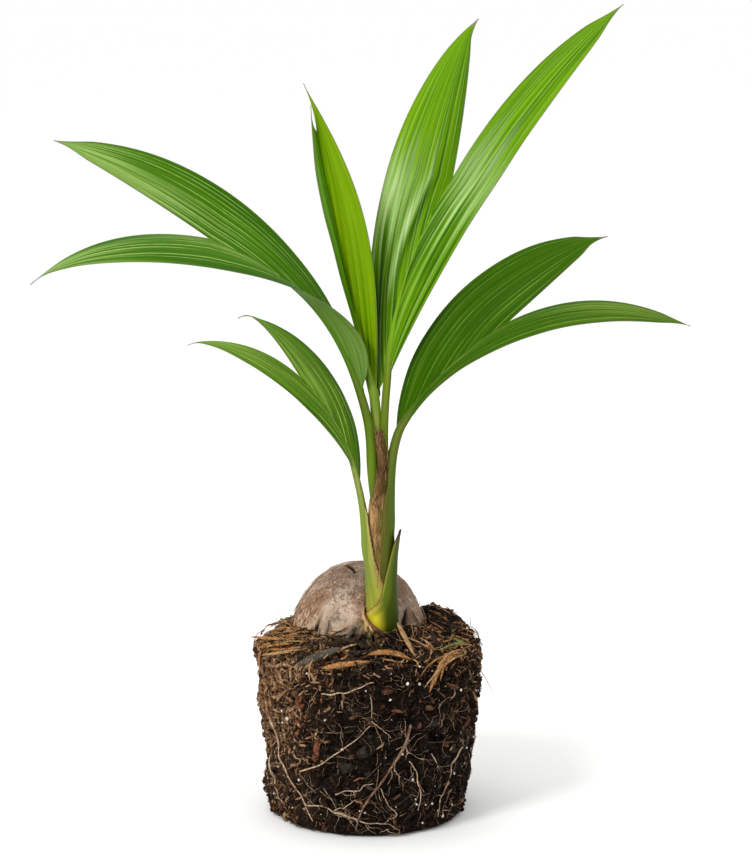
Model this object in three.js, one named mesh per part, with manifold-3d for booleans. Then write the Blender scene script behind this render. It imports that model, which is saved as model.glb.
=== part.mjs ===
// Coconut palm seedling standing on its bare root ball.
// Millimetres, +Z up, +X to the right and +Y away from the viewer in the front view.
// The origin is the centre of the flat underside of the root ball.

import * as THREE from 'three';
import { mergeVertices } from 'three/addons/utils/BufferGeometryUtils.js';
import Module from 'manifold-3d';

const wasm = await Module();
wasm.setup();

// Driving dimensions

// Clear space kept between neighbouring pieces.
const gap = 0.3;

// The plug of soil keeps the shape of the tapered nursery pot that it grew in.
const ball = {
  rimRadius: 131,
  sideRadius: 118,
  footRadius: 102,
  footRise: 22,
  rimHeight: 196,
  rimRound: 6,
  dome: 24,
  lump: 2.4,
  aroundSteps: 48,
};

// Main roots that run over the side of the plug.
// Each goes from one bearing and height to another, bearing 0 facing the front, + to the right.
const rootRadius = 2.1;
const rootSteps = 8;
const rootSides = 5;
const roots = [
  { from: [24, 131], to: [-4, 20], sway: 5 },
  { from: [-66, 116], to: [-32, 15], sway: -6 },
  { from: [-80, 84], to: [-58, 12], sway: 4 },
  { from: [2, 130], to: [-41, 78], sway: -5 },
  { from: [58, 96], to: [42, 15], sway: 4 },
  { from: [-38, 36], to: [-6, 17], sway: 3 },
  { from: [112, 140], to: [84, 22], sway: -6 },
  { from: [150, 96], to: [176, 16], sway: 5 },
  { from: [-112, 132], to: [-140, 24], sway: 6 },
  { from: [-168, 150], to: [-150, 60], sway: -5 },
];

// Sprouted nut, half sunk in the soil, with the three blunt ridges of its husk.
const nut = { centre: [-12, 32, 194], half: [78, 82, 88], ridge: 0.025, turn: 0.5 };

// Short stem of nested leaf bases, from its foot in the soil to the parting of the stalks.
const stem = {
  foot: [17, -41, 206],
  bend: [12, -39, 330],
  top: [10, -34, 442],
  footRadius: 15,
  swellRadius: 17.4,
  swellAt: 0.16,
  topRadius: 11,
  flatten: 0.92,
};

// Sheaths that lie against the stem, between two bearings that close in towards the ends.
const sheathClear = 0.7;
const scaleLeaf = {
  from: 219,
  to: 337,
  left: [-84, 66],
  right: [104, 78],
  wall: 2.2,
  standOff: 8,
};
const drySheath = {
  from: 296,
  to: 451,
  left: [-46, -12],
  right: [4, 52],
  wall: 1.6,
  standOff: 1.6,
};

// Blades: thickness as a share of the length, the folds that run along them,
// and how far they stay from the line of the midrib at its base, at the fork and past it.
const blade = {
  thickness: 0.0115,
  edge: 0.4,
  pleats: 4,
  pleatDepth: 2.2,
  tipWidth: 2.4,
  ribClear: [5.2, 3.2, 0.5],
  steps: 14,
};

// How far a stalk keeps to the stem's line and to the midrib's, as shares of its length.
const stalkHandles = [0.45, 0.2];

// Each leaf is split into two lobes as far down as its fork.
// stalk: where it leaves the stem, and its half width and half thickness there.
// rib: the midrib from the blade's base by its bend to the fork.
// Each lobe runs on from the fork along its inner edge to the tip,
// and along its outer edge from the base by two bends to the same tip.
const fronds = [
  {
    name: 'lower_left_frond',
    colour: 0x5f8f33,
    stalk: { start: [-1, -42, 325], half: [4.6, 3.6], fork: 2.0 },
    rib: [[-12, -42, 405], [-31, -58, 472], [-74, -75, 516]],
    lobes: [
      {
        name: 'upper_lobe',
        inner: [-120, -70, 593],
        outer: [[-7, -42, 402], [-1, -10, 474], [-58, -5, 566]],
        tip: [-141, -55, 583],
      },
      {
        name: 'lower_lobe',
        inner: [-126, -105, 570],
        outer: [[-17, -44, 408], [-35, -95, 468], [-137, -165, 574]],
        tip: [-193, -140, 565],
      },
    ],
  },
  {
    name: 'upper_left_frond',
    colour: 0x6a9a3a,
    stalk: { start: [3, -37, 420], half: [4.6, 3.6], fork: 2.0 },
    rib: [[-8, -36, 491], [-45, -10, 610], [-179, 45, 655]],
    lobes: [
      {
        name: 'upper_lobe',
        inner: [-267, 65, 714],
        outer: [[-4, -32, 494], [-43, 45, 643], [-192, 105, 770]],
        tip: [-359, 95, 762],
      },
      {
        name: 'lower_lobe',
        inner: [-302, 25, 680],
        outer: [[-4, -41, 497], [43, -65, 634], [-311, -20, 669]],
        tip: [-377, 0, 609],
      },
    ],
  },
  {
    name: 'spear_leaf',
    colour: 0xa9b94a,
    stalk: { start: [9.5, -30, 430], half: [3.6, 3.2], fork: 1.8 },
    rib: [[6, -31, 493], [-13, -10, 612], [-53, 15, 727]],
    lobes: [
      {
        name: 'left_lobe',
        inner: [-61, 15, 767],
        outer: [[2, -33, 498], [-23, -45, 606], [-64, -10, 704]],
        tip: [-63, 10, 808],
      },
      {
        name: 'right_lobe',
        inner: [-66, 18, 779],
        outer: [[10, -32, 495], [14, -40, 645], [4, -5, 709]],
        tip: [-72, 22, 831],
      },
    ],
  },
  {
    name: 'centre_frond',
    colour: 0x79ad3c,
    stalk: { start: [17, -35, 428], half: [4.0, 3.4], fork: 2.0 },
    rib: [[21, -34, 514], [30, -15, 629], [95, 25, 726]],
    lobes: [
      {
        name: 'left_lobe',
        inner: [112, 50, 810],
        outer: [[17, -32, 514], [-10, 30, 644], [14, 80, 797]],
        tip: [118, 75, 898],
      },
      {
        name: 'right_lobe',
        inner: [174, 20, 865],
        outer: [[26, -35, 516], [91, -45, 667], [186, -20, 792]],
        tip: [281, 5, 919],
      },
    ],
  },
  {
    name: 'right_frond',
    colour: 0x4f8430,
    stalk: { start: [23, -39, 352], half: [4.8, 3.8], fork: 2.0 },
    rib: [[38, -38, 457], [83, -55, 532], [154, -75, 578]],
    lobes: [
      {
        name: 'upper_lobe',
        inner: [204, -75, 624],
        outer: [[33, -36, 459], [30, -5, 566], [154, 0, 675]],
        tip: [255, -60, 670],
      },
      {
        name: 'lower_lobe',
        inner: [250, -105, 631],
        outer: [[44, -40, 459], [108, -105, 569], [240, -170, 606]],
        tip: [345, -140, 583],
      },
    ],
  },
];

// Shared helpers

const vec = (p) => new THREE.Vector3(...p);
const mix = THREE.MathUtils.lerp;
const ease = THREE.MathUtils.smoothstep;
const rad = THREE.MathUtils.degToRad;

// One closed shell with merged corners and its faces turned outwards.
function shell(geometry) {
  geometry.deleteAttribute('normal');
  geometry.deleteAttribute('uv');
  const merged = mergeVertices(geometry, 1e-3);
  const index = merged.index.array;
  const at = merged.attributes.position;
  const [a, b, c] = [vec([0, 0, 0]), vec([0, 0, 0]), vec([0, 0, 0])];
  let volume = 0;
  for (let i = 0; i < index.length; i += 3) {
    a.fromBufferAttribute(at, index[i]);
    b.fromBufferAttribute(at, index[i + 1]);
    c.fromBufferAttribute(at, index[i + 2]);
    volume += a.dot(b.cross(c));
  }
  if (volume < 0) {
    for (let i = 0; i < index.length; i += 3) {
      [index[i], index[i + 1]] = [index[i + 1], index[i]];
    }
  }
  return merged;
}

function toSolid(geometry) {
  const closed = shell(geometry);
  return new wasm.Manifold(new wasm.Mesh({
    numProp: 3,
    vertProperties: new Float32Array(closed.attributes.position.array),
    triVerts: new Uint32Array(closed.index.array),
  }));
}

function toGeometry(solid) {
  const mesh = solid.getMesh();
  const geometry = new THREE.BufferGeometry();
  geometry.setAttribute('position', new THREE.BufferAttribute(mesh.vertProperties, 3));
  geometry.setIndex(new THREE.BufferAttribute(mesh.triVerts, 1));
  return geometry;
}

// The piece less its neighbours, without the scraps that a cut leaves.
function cutClear(solid, neighbours) {
  const cut = neighbours.reduce((left, other) => left.subtract(other), solid);
  const bodies = cut.decompose();
  return bodies.reduce((most, body) => (body.volume() > most.volume() ? body : most));
}

// Moves every corner of a geometry.
function shapeBy(geometry, move) {
  const at = geometry.attributes.position;
  const corner = new THREE.Vector3();
  for (let i = 0; i < at.count; i += 1) {
    corner.copy(move(corner.fromBufferAttribute(at, i)));
    at.setXYZ(i, corner.x, corner.y, corner.z);
  }
  return geometry;
}

// Points, directions and two crosswise directions along a curve, turning as little as they can.
function framesAlong(curve, steps, firstAcross) {
  const points = curve.getSpacedPoints(steps);
  const across = firstAcross.clone();
  return points.map((point, i) => {
    const before = points[Math.max(i - 1, 0)];
    const after = points[Math.min(i + 1, steps)];
    const along = after.clone().sub(before).normalize();
    across.addScaledVector(along, -across.dot(along)).normalize();
    return { point, across: across.clone(), out: along.clone().cross(across) };
  });
}

// A rod with oval sections along a curve. half gives its two half sizes at a share of the length.
function rod(curve, steps, sides, firstAcross, half) {
  const frames = framesAlong(curve, steps, firstAcross);
  const tube = new THREE.CylinderGeometry(1, 1, 1, sides, steps);
  return shapeBy(tube, ({ x, y, z }) => {
    const step = Math.round((y + 0.5) * steps);
    const { point, across, out } = frames[step];
    const [wide, thick] = half(step / steps);
    return point.clone().addScaledVector(across, x * wide).addScaledVector(out, z * thick);
  });
}

// Root ball

// Gentle waves that make the side of the plug uneven, and die out at the flat underside.
function lumpAt(bearing, height) {
  const waves =
    Math.sin(3 * bearing + height * 0.03) +
    0.8 * Math.sin(7 * bearing - height * 0.07 + 1.3) +
    0.6 * Math.sin(12 * bearing + height * 0.11 + 4.1);
  return ball.lump * waves * ease(height, -20, 40);
}

function sideRadiusAt(height) {
  const up = (height - ball.footRise) / (ball.rimHeight - ball.footRise);
  return mix(ball.sideRadius, ball.rimRadius, up);
}

function plugProfile() {
  const profile = new THREE.Path();
  profile.moveTo(0, 0);
  profile.lineTo(ball.footRadius / 2, 0);
  profile.lineTo(ball.footRadius, 0);
  profile.quadraticCurveTo(ball.sideRadius - 1, 2, ball.sideRadius, ball.footRise);
  for (const share of [0.25, 0.5, 0.75]) {
    const height = mix(ball.footRise, ball.rimHeight - ball.rimRound, share);
    profile.lineTo(sideRadiusAt(height), height);
  }
  profile.lineTo(sideRadiusAt(ball.rimHeight - ball.rimRound), ball.rimHeight - ball.rimRound);
  profile.lineTo(ball.rimRadius - ball.rimRound, ball.rimHeight + 1);
  for (const share of [0.75, 0.5, 0.25]) {
    profile.lineTo(ball.rimRadius * share, ball.rimHeight + ball.dome * (1 - share * share));
  }
  profile.lineTo(0, ball.rimHeight + ball.dome);
  return profile.getPoints(3);
}

function plug() {
  const lathe = new THREE.LatheGeometry(plugProfile(), ball.aroundSteps);
  lathe.rotateX(Math.PI / 2);
  return shapeBy(lathe, (corner) => {
    const reach = Math.hypot(corner.x, corner.y);
    if (reach < 1) {
      return corner;
    }
    const lump = lumpAt(Math.atan2(corner.x, -corner.y), corner.z) * (reach / ball.rimRadius);
    return corner.setX(corner.x * (1 + lump / reach)).setY(corner.y * (1 + lump / reach));
  });
}

function surfaceRoot({ from, to, sway }) {
  const bearings = (share) => mix(from[0], to[0], share) + sway * Math.sin(share * Math.PI * 2.4);
  const points = [0, 0.25, 0.5, 0.75, 1].map((share) => {
    const bearing = rad(bearings(share));
    const height = mix(from[1], to[1], share);
    const reach = sideRadiusAt(height) + lumpAt(bearing, height) + rootRadius * 0.2;
    return new THREE.Vector3(Math.sin(bearing) * reach, -Math.cos(bearing) * reach, height);
  });
  const outwards = points[0].clone().setZ(0).normalize();
  const thin = (share) => rootRadius * mix(1, 0.6, share);
  return rod(new THREE.CatmullRomCurve3(points), rootSteps, rootSides, outwards,
    (share) => [thin(share), thin(share)]);
}

// Seed nut

function husk(grow) {
  const sphere = new THREE.SphereGeometry(1, 24, 14);
  sphere.rotateX(Math.PI / 2);
  return shapeBy(sphere, ({ x, y, z }) => {
    const ridge = 1 + nut.ridge * Math.cos(3 * Math.atan2(y, x) + nut.turn);
    return new THREE.Vector3(
      nut.centre[0] + x * ridge * (nut.half[0] + grow),
      nut.centre[1] + y * ridge * (nut.half[1] + grow),
      nut.centre[2] + z * (nut.half[2] + grow),
    );
  });
}

// Stem and its sheaths

const stemCurve = new THREE.QuadraticBezierCurve3(vec(stem.foot), vec(stem.bend), vec(stem.top));
const stemSteps = 14;
const stemSides = 16;

function stemRadius(share) {
  const foot = mix(stem.footRadius, stem.swellRadius, ease(share, 0, stem.swellAt));
  return mix(foot, stem.topRadius, ease(share, stem.swellAt, 1) * 0.6 + share * 0.4);
}

function stemRod(grow) {
  const from = vec(stem.foot).setZ(stem.foot[2] - grow);
  const to = vec(stem.top).setZ(stem.top[2] + grow);
  const curve = new THREE.QuadraticBezierCurve3(from, vec(stem.bend), to);
  return rod(curve, stemSteps, stemSides, new THREE.Vector3(1, 0, 0), (share) => {
    const radius = stemRadius(share);
    return [radius + grow, radius * stem.flatten + grow];
  });
}

// A sheath between two bearings round the stem, which draw in to a point at both ends.
function sheath({ from, to, left, right, wall, standOff }, roundFoot) {
  const steps = 10;
  const box = new THREE.BoxGeometry(1, 1, 1, steps, 8, 1);
  return shapeBy(box, ({ x, y, z }) => {
    const up = x + 0.5;
    const height = mix(from, to, up);
    const share = (height - stem.foot[2]) / (stem.top[2] - stem.foot[2]);
    const centre = stemCurve.getPoint(Math.min(share, 1));
    const middle = (mix(left[0], left[1], up) + mix(right[0], right[1], up)) / 2;
    const spread = mix(right[0], right[1], up) - mix(left[0], left[1], up);
    const narrow = roundFoot ? mix(0.35, 1, ease(up, 0, 0.3)) * mix(1, 0.3, ease(up, 0.75, 1)) : 1;
    const bearing = rad(middle + y * spread * narrow);
    const inner = stemRadius(Math.min(share, 1)) + sheathClear + standOff * ease(up, 0.45, 1);
    const reach = inner + (z + 0.5) * wall * mix(1, 0.6, up);
    return new THREE.Vector3(
      centre.x + Math.sin(bearing) * reach,
      centre.y - Math.cos(bearing) * (reach - (1 - stem.flatten) * stemRadius(Math.min(share, 1))),
      height,
    );
  });
}

// Stalks and blades

const ribCurve = (frond) => new THREE.QuadraticBezierCurve3(...frond.rib.map(vec));

// The stalk rises along the stem, swings out to the blade and runs on inside it as the midrib.
function stalkCurve(frond) {
  const start = vec(frond.stalk.start);
  const base = vec(frond.rib[0]);
  const reach = start.distanceTo(base);
  const leave = stemCurve.getTangent(0.8).multiplyScalar(reach * stalkHandles[0]).add(start);
  const along = vec(frond.rib[1]).sub(base).normalize();
  const arrive = base.clone().addScaledVector(along, -reach * stalkHandles[1]);
  const curve = new THREE.CurvePath();
  curve.add(new THREE.CubicBezierCurve3(start, leave, arrive, base));
  curve.add(ribCurve(frond));
  return curve;
}

function stalkRod(frond, grow) {
  const curve = stalkCurve(frond);
  const [toBase, whole] = curve.getCurveLengths();
  const baseAt = toBase / whole;
  const { half, fork } = frond.stalk;
  return rod(curve, 18, 8, new THREE.Vector3(0, 1, 0), (share) => {
    const past = ease(share, baseAt * 0.8, 1);
    return [mix(half[1], fork, past) + grow, mix(half[0], fork, past) + grow];
  });
}

// A thin blade between the lobe's inner and outer edges, folded lengthwise.
function lobeBlade(frond, lobe, grow) {
  const innerCurve = new THREE.CurvePath();
  const fork = vec(frond.rib[2]);
  const tip = vec(lobe.tip);
  innerCurve.add(ribCurve(frond));
  innerCurve.add(new THREE.QuadraticBezierCurve3(fork, vec(lobe.inner), tip));
  const outerCurve = new THREE.CubicBezierCurve3(...lobe.outer.map(vec), tip);
  const [ribLength, innerLength] = innerCurve.getCurveLengths();
  const forkAt = ribLength / innerLength;
  const inner = innerCurve.getSpacedPoints(blade.steps);
  const outer = outerCurve.getSpacedPoints(blade.steps);
  const thickest = outerCurve.getLength() * blade.thickness;
  let spread = new THREE.Vector3();
  const spreads = inner.map((point, i) => {
    const wide = outer[i].clone().sub(point);
    spread = wide.length() > blade.tipWidth ? wide : spread.clone().setLength(blade.tipWidth);
    return spread;
  });
  const box = new THREE.BoxGeometry(1, 1, 1, blade.steps, blade.pleats * 2, 1);
  return shapeBy(box, ({ x, y, z }) => {
    const share = x + 0.5;
    const step = Math.round(share * blade.steps);
    const ahead = Math.min(step + 1, blade.steps);
    const behind = Math.max(step - 1, 0);
    const [baseClear, forkClear, tipClear] = blade.ribClear;
    const onRib = mix(baseClear, forkClear, Math.min(share / forkAt, 1));
    const clear = mix(onRib, tipClear, ease(share, forkAt, forkAt + 0.15));
    const side = mix(Math.min(clear / spreads[step].length(), 0.4), 1, y + 0.5);
    const middle = (at) => inner[at].clone().addScaledVector(spreads[at], side);
    const along = middle(ahead).sub(middle(behind));
    const face = along.cross(spreads[step]).normalize();
    const full = Math.sqrt(Math.sin(Math.PI * mix(0.04, 0.96, share)));
    const fold = Math.round((y + 0.5) * blade.pleats * 2) % 2 === 0 ? -0.5 : 0.5;
    const round = mix(blade.edge, 1, 1 - (2 * y) ** 2);
    const lift = fold * blade.pleatDepth * full + z * (thickest * full * round + 2 * grow);
    return middle(step).addScaledVector(face, lift);
  });
}

// Assembly

const seedling = new THREE.Group();

function addPiece(name, solid, colour, roughness) {
  const material = new THREE.MeshStandardMaterial({ color: colour, roughness, metalness: 0 });
  const mesh = new THREE.Mesh(toGeometry(solid), material);
  mesh.name = name;
  seedling.add(mesh);
}

const scaleRoom = scaleLeaf.wall + 3 * gap;
const rooted = roots.reduce((soil, root) => soil.add(toSolid(surfaceRoot(root))), toSolid(plug()));
addPiece('root_ball', cutClear(rooted, [toSolid(husk(gap)), toSolid(stemRod(gap))]), 0x2c2018, 0.95);
addPiece('seed_nut', cutClear(toSolid(husk(0)), [toSolid(stemRod(scaleRoom))]), 0x7d6a55, 0.85);
addPiece('stem', toSolid(stemRod(0)), 0x6d8a3c, 0.55);

const grownStem = toSolid(stemRod(gap));
const grownStalks = fronds.map((frond) => toSolid(stalkRod(frond, gap)));
const dry = cutClear(toSolid(sheath(drySheath, true)), [grownStem, ...grownStalks]);
addPiece('scale_leaf', cutClear(toSolid(sheath(scaleLeaf, false)), [grownStem]), 0x7c8f42, 0.6);
addPiece('dry_sheath', dry, 0x8a6a48, 0.85);

const grownBlades = [];
fronds.forEach((frond, i) => {
  const earlierStalks = grownStalks.slice(0, i);
  const stalk = cutClear(toSolid(stalkRod(frond, 0)), [grownStem, ...earlierStalks]);
  addPiece(`${frond.name}_stalk`, stalk, 0x93a24c, 0.5);
  for (const lobe of frond.lobes) {
    const neighbours = [grownStem, ...grownStalks, ...grownBlades];
    addPiece(`${frond.name}_${lobe.name}`, cutClear(toSolid(lobeBlade(frond, lobe, 0)), neighbours),
      frond.colour, 0.45);
    grownBlades.push(toSolid(lobeBlade(frond, lobe, gap)));
  }
});

export default seedling;
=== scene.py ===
# Coconut palm seedling on its bare root ball: the looks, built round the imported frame.
# Sizes are millimetres, as on the part. They become metres where corners enter a mesh.
import math
import bpy
import numpy as np
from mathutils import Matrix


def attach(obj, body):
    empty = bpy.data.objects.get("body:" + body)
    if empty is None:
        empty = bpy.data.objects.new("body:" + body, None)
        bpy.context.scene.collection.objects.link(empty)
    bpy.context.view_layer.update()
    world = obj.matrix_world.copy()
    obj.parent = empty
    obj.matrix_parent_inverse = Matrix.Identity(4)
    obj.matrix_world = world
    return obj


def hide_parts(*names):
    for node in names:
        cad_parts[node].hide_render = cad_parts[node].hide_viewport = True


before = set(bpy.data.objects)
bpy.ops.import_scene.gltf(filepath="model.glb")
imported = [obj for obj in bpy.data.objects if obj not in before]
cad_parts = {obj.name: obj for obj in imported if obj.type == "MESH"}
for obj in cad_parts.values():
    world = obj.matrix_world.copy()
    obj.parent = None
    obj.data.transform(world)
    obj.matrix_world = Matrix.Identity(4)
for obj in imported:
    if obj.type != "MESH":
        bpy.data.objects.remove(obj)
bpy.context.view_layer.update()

millimetre = 0.001     # in the scene's metres
weldReach = 0.01       # corners nearer than this become one


# Selection and mesh handling

def deselectAll():
    if bpy.context.mode != "OBJECT":
        bpy.ops.object.mode_set(mode="OBJECT")
    bpy.ops.object.select_all(action="DESELECT")


def makeActive(piece):
    deselectAll()
    piece.select_set(True)
    bpy.context.view_layer.objects.active = piece


def newGrid(name, along, across):
    deselectAll()
    bpy.ops.mesh.primitive_grid_add(x_subdivisions=along, y_subdivisions=across, size=1)
    piece = bpy.context.object
    piece.name = name
    piece.data.name = name
    return piece


def cornersOf(piece):
    flat = np.empty(len(piece.data.vertices) * 3)
    piece.data.vertices.foreach_get("co", flat)
    return flat.reshape(-1, 3)


def gridShares(piece):
    at = cornersOf(piece)
    return at[:, 0] + 0.5, at[:, 1] + 0.5


def placeCorners(piece, places):
    piece.data.vertices.foreach_set("co", np.ravel(places * millimetre).astype(np.float32))
    piece.data.update()


def keepValue(piece, name, values):
    layer = piece.data.attributes.new(name, "FLOAT", "POINT")
    layer.data.foreach_set("value", np.asarray(values, np.float32))


def selectAllFaces(piece):
    makeActive(piece)
    bpy.ops.object.mode_set(mode="EDIT")
    bpy.ops.mesh.select_all(action="SELECT")


def weld(piece):
    selectAllFaces(piece)
    bpy.ops.mesh.remove_doubles(threshold=weldReach * millimetre)
    bpy.ops.mesh.normals_make_consistent(inside=False)
    bpy.ops.object.mode_set(mode="OBJECT")


# Turns a sheet over where it looks against the given directions, one for each corner.
def faceOutward(piece, outward):
    middle = piece.data.polygons[len(piece.data.polygons) // 2]
    if np.array(middle.normal) @ outward[middle.vertices[0]] < 0:
        selectAllFaces(piece)
        bpy.ops.mesh.flip_normals()
        bpy.ops.object.mode_set(mode="OBJECT")


def thicken(piece, wall, offset=0.0, backSlot=0):
    makeActive(piece)
    solidify = piece.modifiers.new("wall", "SOLIDIFY")
    solidify.thickness = wall * millimetre
    solidify.offset = offset
    solidify.use_even_offset = False
    solidify.material_offset = backSlot
    bpy.ops.object.modifier_apply(modifier=solidify.name)


def addFinish(piece, materials):
    for material in materials:
        piece.data.materials.append(material)


def seat(piece, slot, *nodes):
    makeActive(piece)
    bpy.ops.object.shade_smooth()
    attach(piece, "root")
    if nodes:
        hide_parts(*nodes)


# One mesh of many small pieces. picks says which finish each of its faces has.
def seatJoined(name, slot, finishes, places, faces, picks):
    mesh = bpy.data.meshes.new(name)
    mesh.from_pydata((places * millimetre).tolist(), [], faces)
    mesh.polygons.foreach_set("material_index", np.asarray(picks, np.int32))
    mesh.update()
    piece = bpy.data.objects.new(name, mesh)
    bpy.context.scene.collection.objects.link(piece)
    addFinish(piece, finishes)
    seat(piece, slot)


# Numbers and lines

def lerp(a, b, share):
    return a + (b - a) * share


def ease(value, low, high):
    share = np.clip((value - low) / (high - low), 0.0, 1.0)
    return share * share * (3 - 2 * share)


def seeded(values):
    return np.random.default_rng(values["seed"])


def anyTurn(rng, count):
    return rng.uniform(-math.pi, math.pi, count)


def unit(vectors):
    length = np.linalg.norm(vectors, axis=-1, keepdims=True)
    return vectors / np.maximum(length, 1e-9)


def evenShares(count):
    return np.linspace(0, 1, count)


def bezier(points, count=300):
    share = evenShares(count)[:, None]
    lines = [np.repeat(np.array([p], float), count, axis=0) for p in points]
    while len(lines) > 1:
        lines = [lerp(a, b, share) for a, b in zip(lines, lines[1:])]
    return lines[0]


def runOf(line):
    return np.concatenate([[0], np.cumsum(np.linalg.norm(np.diff(line, axis=0), axis=1))])


def evenly(line, count):
    run = runOf(line)
    wanted = np.linspace(0, run[-1], count)
    return np.stack([np.interp(wanted, run, line[:, i]) for i in range(line.shape[1])], axis=1)


def chained(first, second):
    return np.concatenate([first, second])


def bell(value, middle, spread):
    return np.exp(-((value - middle) / spread) ** 2)


# Level directions at bearings, which count from the front to the right.
def levelAt(bearing):
    return np.stack([np.sin(bearing), -np.cos(bearing), np.zeros_like(bearing)], axis=-1)


# Level directions from a middle to points round it.
def levelFrom(middle, at):
    away = unit(at[..., :2] - middle)
    return np.concatenate([away, np.zeros_like(away[..., :1])], axis=-1)


noiseTable = 4096
noiseShift = 500.0                              # keeps the cells' numbers above zero
noiseSteps = (73856093, 19349663, 83492791)     # large odd numbers that scatter neighbouring cells


# Smooth random values between -1 and 1, about the given size apart.
def softNoise(at, size, seed):
    table = np.random.default_rng(seed).uniform(-1, 1, noiseTable)
    cell = at / size + noiseShift
    low = np.floor(cell).astype(np.int64)
    part = cell - low
    part = part * part * (3 - 2 * part)
    total = 0.0
    for corner in np.ndindex(2, 2, 2):
        spread = (low + corner) * noiseSteps
        key = (spread[:, 0] ^ spread[:, 1] ^ spread[:, 2]) % noiseTable
        share = np.abs(1 - np.array(corner) - part)
        total = total + table[key] * (share[:, 0] * share[:, 1] * share[:, 2])
    return total


# Crosswise directions along a line, turning as little as they can.
def framesAlong(line, firstAcross):
    ahead = unit(np.gradient(line, axis=0))
    across = np.empty_like(line)
    carried = np.array(firstAcross, float)
    for i, direction in enumerate(ahead):
        carried = carried - direction * carried.dot(direction)
        carried = carried / np.linalg.norm(carried)
        across[i] = carried
    return ahead, across, np.cross(ahead, across)


# Small shapes that are made once and copied many times

def lumpShape(subdivisions):
    deselectAll()
    bpy.ops.mesh.primitive_ico_sphere_add(subdivisions=subdivisions, radius=1)
    lump = bpy.context.object
    corners = cornersOf(lump)
    faces = np.array([tuple(face.vertices) for face in lump.data.polygons])
    bpy.data.objects.remove(lump)
    return corners, faces


def randomTurns(rng, count):
    w, x, y, z = unit(rng.normal(size=(count, 4))).T
    rows = [
        [1 - 2 * (y * y + z * z), 2 * (x * y - w * z), 2 * (x * z + w * y)],
        [2 * (x * y + w * z), 1 - 2 * (x * x + z * z), 2 * (y * z - w * x)],
        [2 * (x * z - w * y), 2 * (y * z + w * x), 1 - 2 * (x * x + y * y)],
    ]
    return np.transpose(np.array(rows), (2, 0, 1))


def scatterLumps(shape, centres, sizes, rng, dents):
    corners, faces = shape
    count = len(centres)
    dented = corners[None] * (1 + rng.uniform(-dents, dents, (count, len(corners), 1)))
    turned = np.einsum("nij,nkj->nki", randomTurns(rng, count), dented * sizes[:, None, :])
    copies = faces[None] + (np.arange(count) * len(corners))[:, None, None]
    return (turned + centres[:, None]).reshape(-1, 3), copies.reshape(-1, faces.shape[1])


# Threads and strips: one path of points each, a half width at each point, and how flat they are.
def strandMesh(paths, halves, ups, flat=1.0, sides=4):
    count, points = paths.shape[:2]
    ahead = unit(np.gradient(paths, axis=1))
    side = unit(np.cross(ahead, ups))
    lift = np.cross(ahead, side)
    angles = (np.arange(sides) + 0.5) * 2 * math.pi / sides
    flats = np.broadcast_to(np.asarray(flat, float).reshape(-1, 1, 1, 1), (count, 1, 1, 1))
    ring = side[:, :, None] * np.cos(angles)[:, None] + lift[:, :, None] * np.sin(angles)[:, None] * flats
    places = (paths[:, :, None] + ring * halves[:, :, None, None]).reshape(-1, 3)
    step = np.arange(points - 1)[:, None] * sides
    turn = np.arange(sides)
    nextTurn = (turn + 1) % sides
    quads = np.stack([step + turn, step + nextTurn, step + sides + nextTurn, step + sides + turn], axis=-1)
    starts = np.arange(count) * points * sides
    quads = (quads.reshape(1, -1, 4) + starts[:, None, None]).reshape(-1, 4)
    first = starts[:, None] + turn[::-1]
    last = starts[:, None] + (points - 1) * sides + turn
    faces = quads.tolist() + first.tolist() + last.tolist()
    owner = np.concatenate([np.repeat(np.arange(count), (points - 1) * sides), np.tile(np.arange(count), 2)])
    return places, faces, owner


# One piece of many strands, each with its own tone.
def seatStrands(name, slot, finishes, tones, paths, halves, ups, flat=1.0, sides=4):
    places, faces, owner = strandMesh(paths, halves, ups, flat, sides)
    seatJoined(name, slot, finishes, places, faces, tones[owner])


# A rod along a line. half gives its two half sizes at shares of the length, and section how far its rim
# is from them, as a factor, all the way round.
def rodPiece(name, line, steps, sides, firstAcross, half, section):
    line = evenly(line, steps + 1)
    ahead, across, out = framesAlong(line, firstAcross)
    piece = newGrid(name, steps, sides)
    share, turn = gridShares(piece)
    row = np.round(share * steps).astype(int)
    angle = turn * 2 * math.pi
    wide, thick = half(share)
    rim = section(share, angle, across[row], out[row])
    closing = np.where((row == 0) | (row == steps), 0.0, 1.0)
    places = line[row] + across[row] * (np.cos(angle) * wide * rim * closing)[:, None]
    placeCorners(piece, places + out[row] * (np.sin(angle) * thick * rim * closing)[:, None])
    weld(piece)
    return piece


# Shader nodes

def tint(red, green, blue):
    shares = [v / 255 for v in (red, green, blue)]
    return tuple(s / 12.92 if s <= 0.04045 else ((s + 0.055) / 1.055) ** 2.4 for s in shares) + (1.0,)


# A new node in the tree that a socket or a node belongs to.
def nodeBy(thing, kind):
    return thing.id_data.nodes.new("ShaderNode" + kind)


def feed(socket, value):
    if isinstance(value, bpy.types.NodeSocket):
        socket.id_data.links.new(value, socket)
    else:
        socket.default_value = value


# Feeds a node's inputs by their names and gives its outputs.
def feedAll(node, **values):
    for name, value in values.items():
        feed(node.inputs[name], value)
    return node.outputs


def calc(operation, a, b=0.0):
    node = nodeBy(a, "Math")
    node.operation = operation
    feed(node.inputs[0], a)
    feed(node.inputs[1], b)
    return node.outputs[0]


def times(a, b):
    return calc("MULTIPLY", a, b)


def plus(a, b):
    return calc("ADD", a, b)


def ranged(value, low, high, toLow=0.0, toHigh=1.0):
    node = nodeBy(value, "MapRange")
    node.interpolation_type = "SMOOTHSTEP"
    for socket, item in zip(node.inputs, (value, low, high, toLow, toHigh)):
        feed(socket, item)
    return node.outputs[0]


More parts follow.
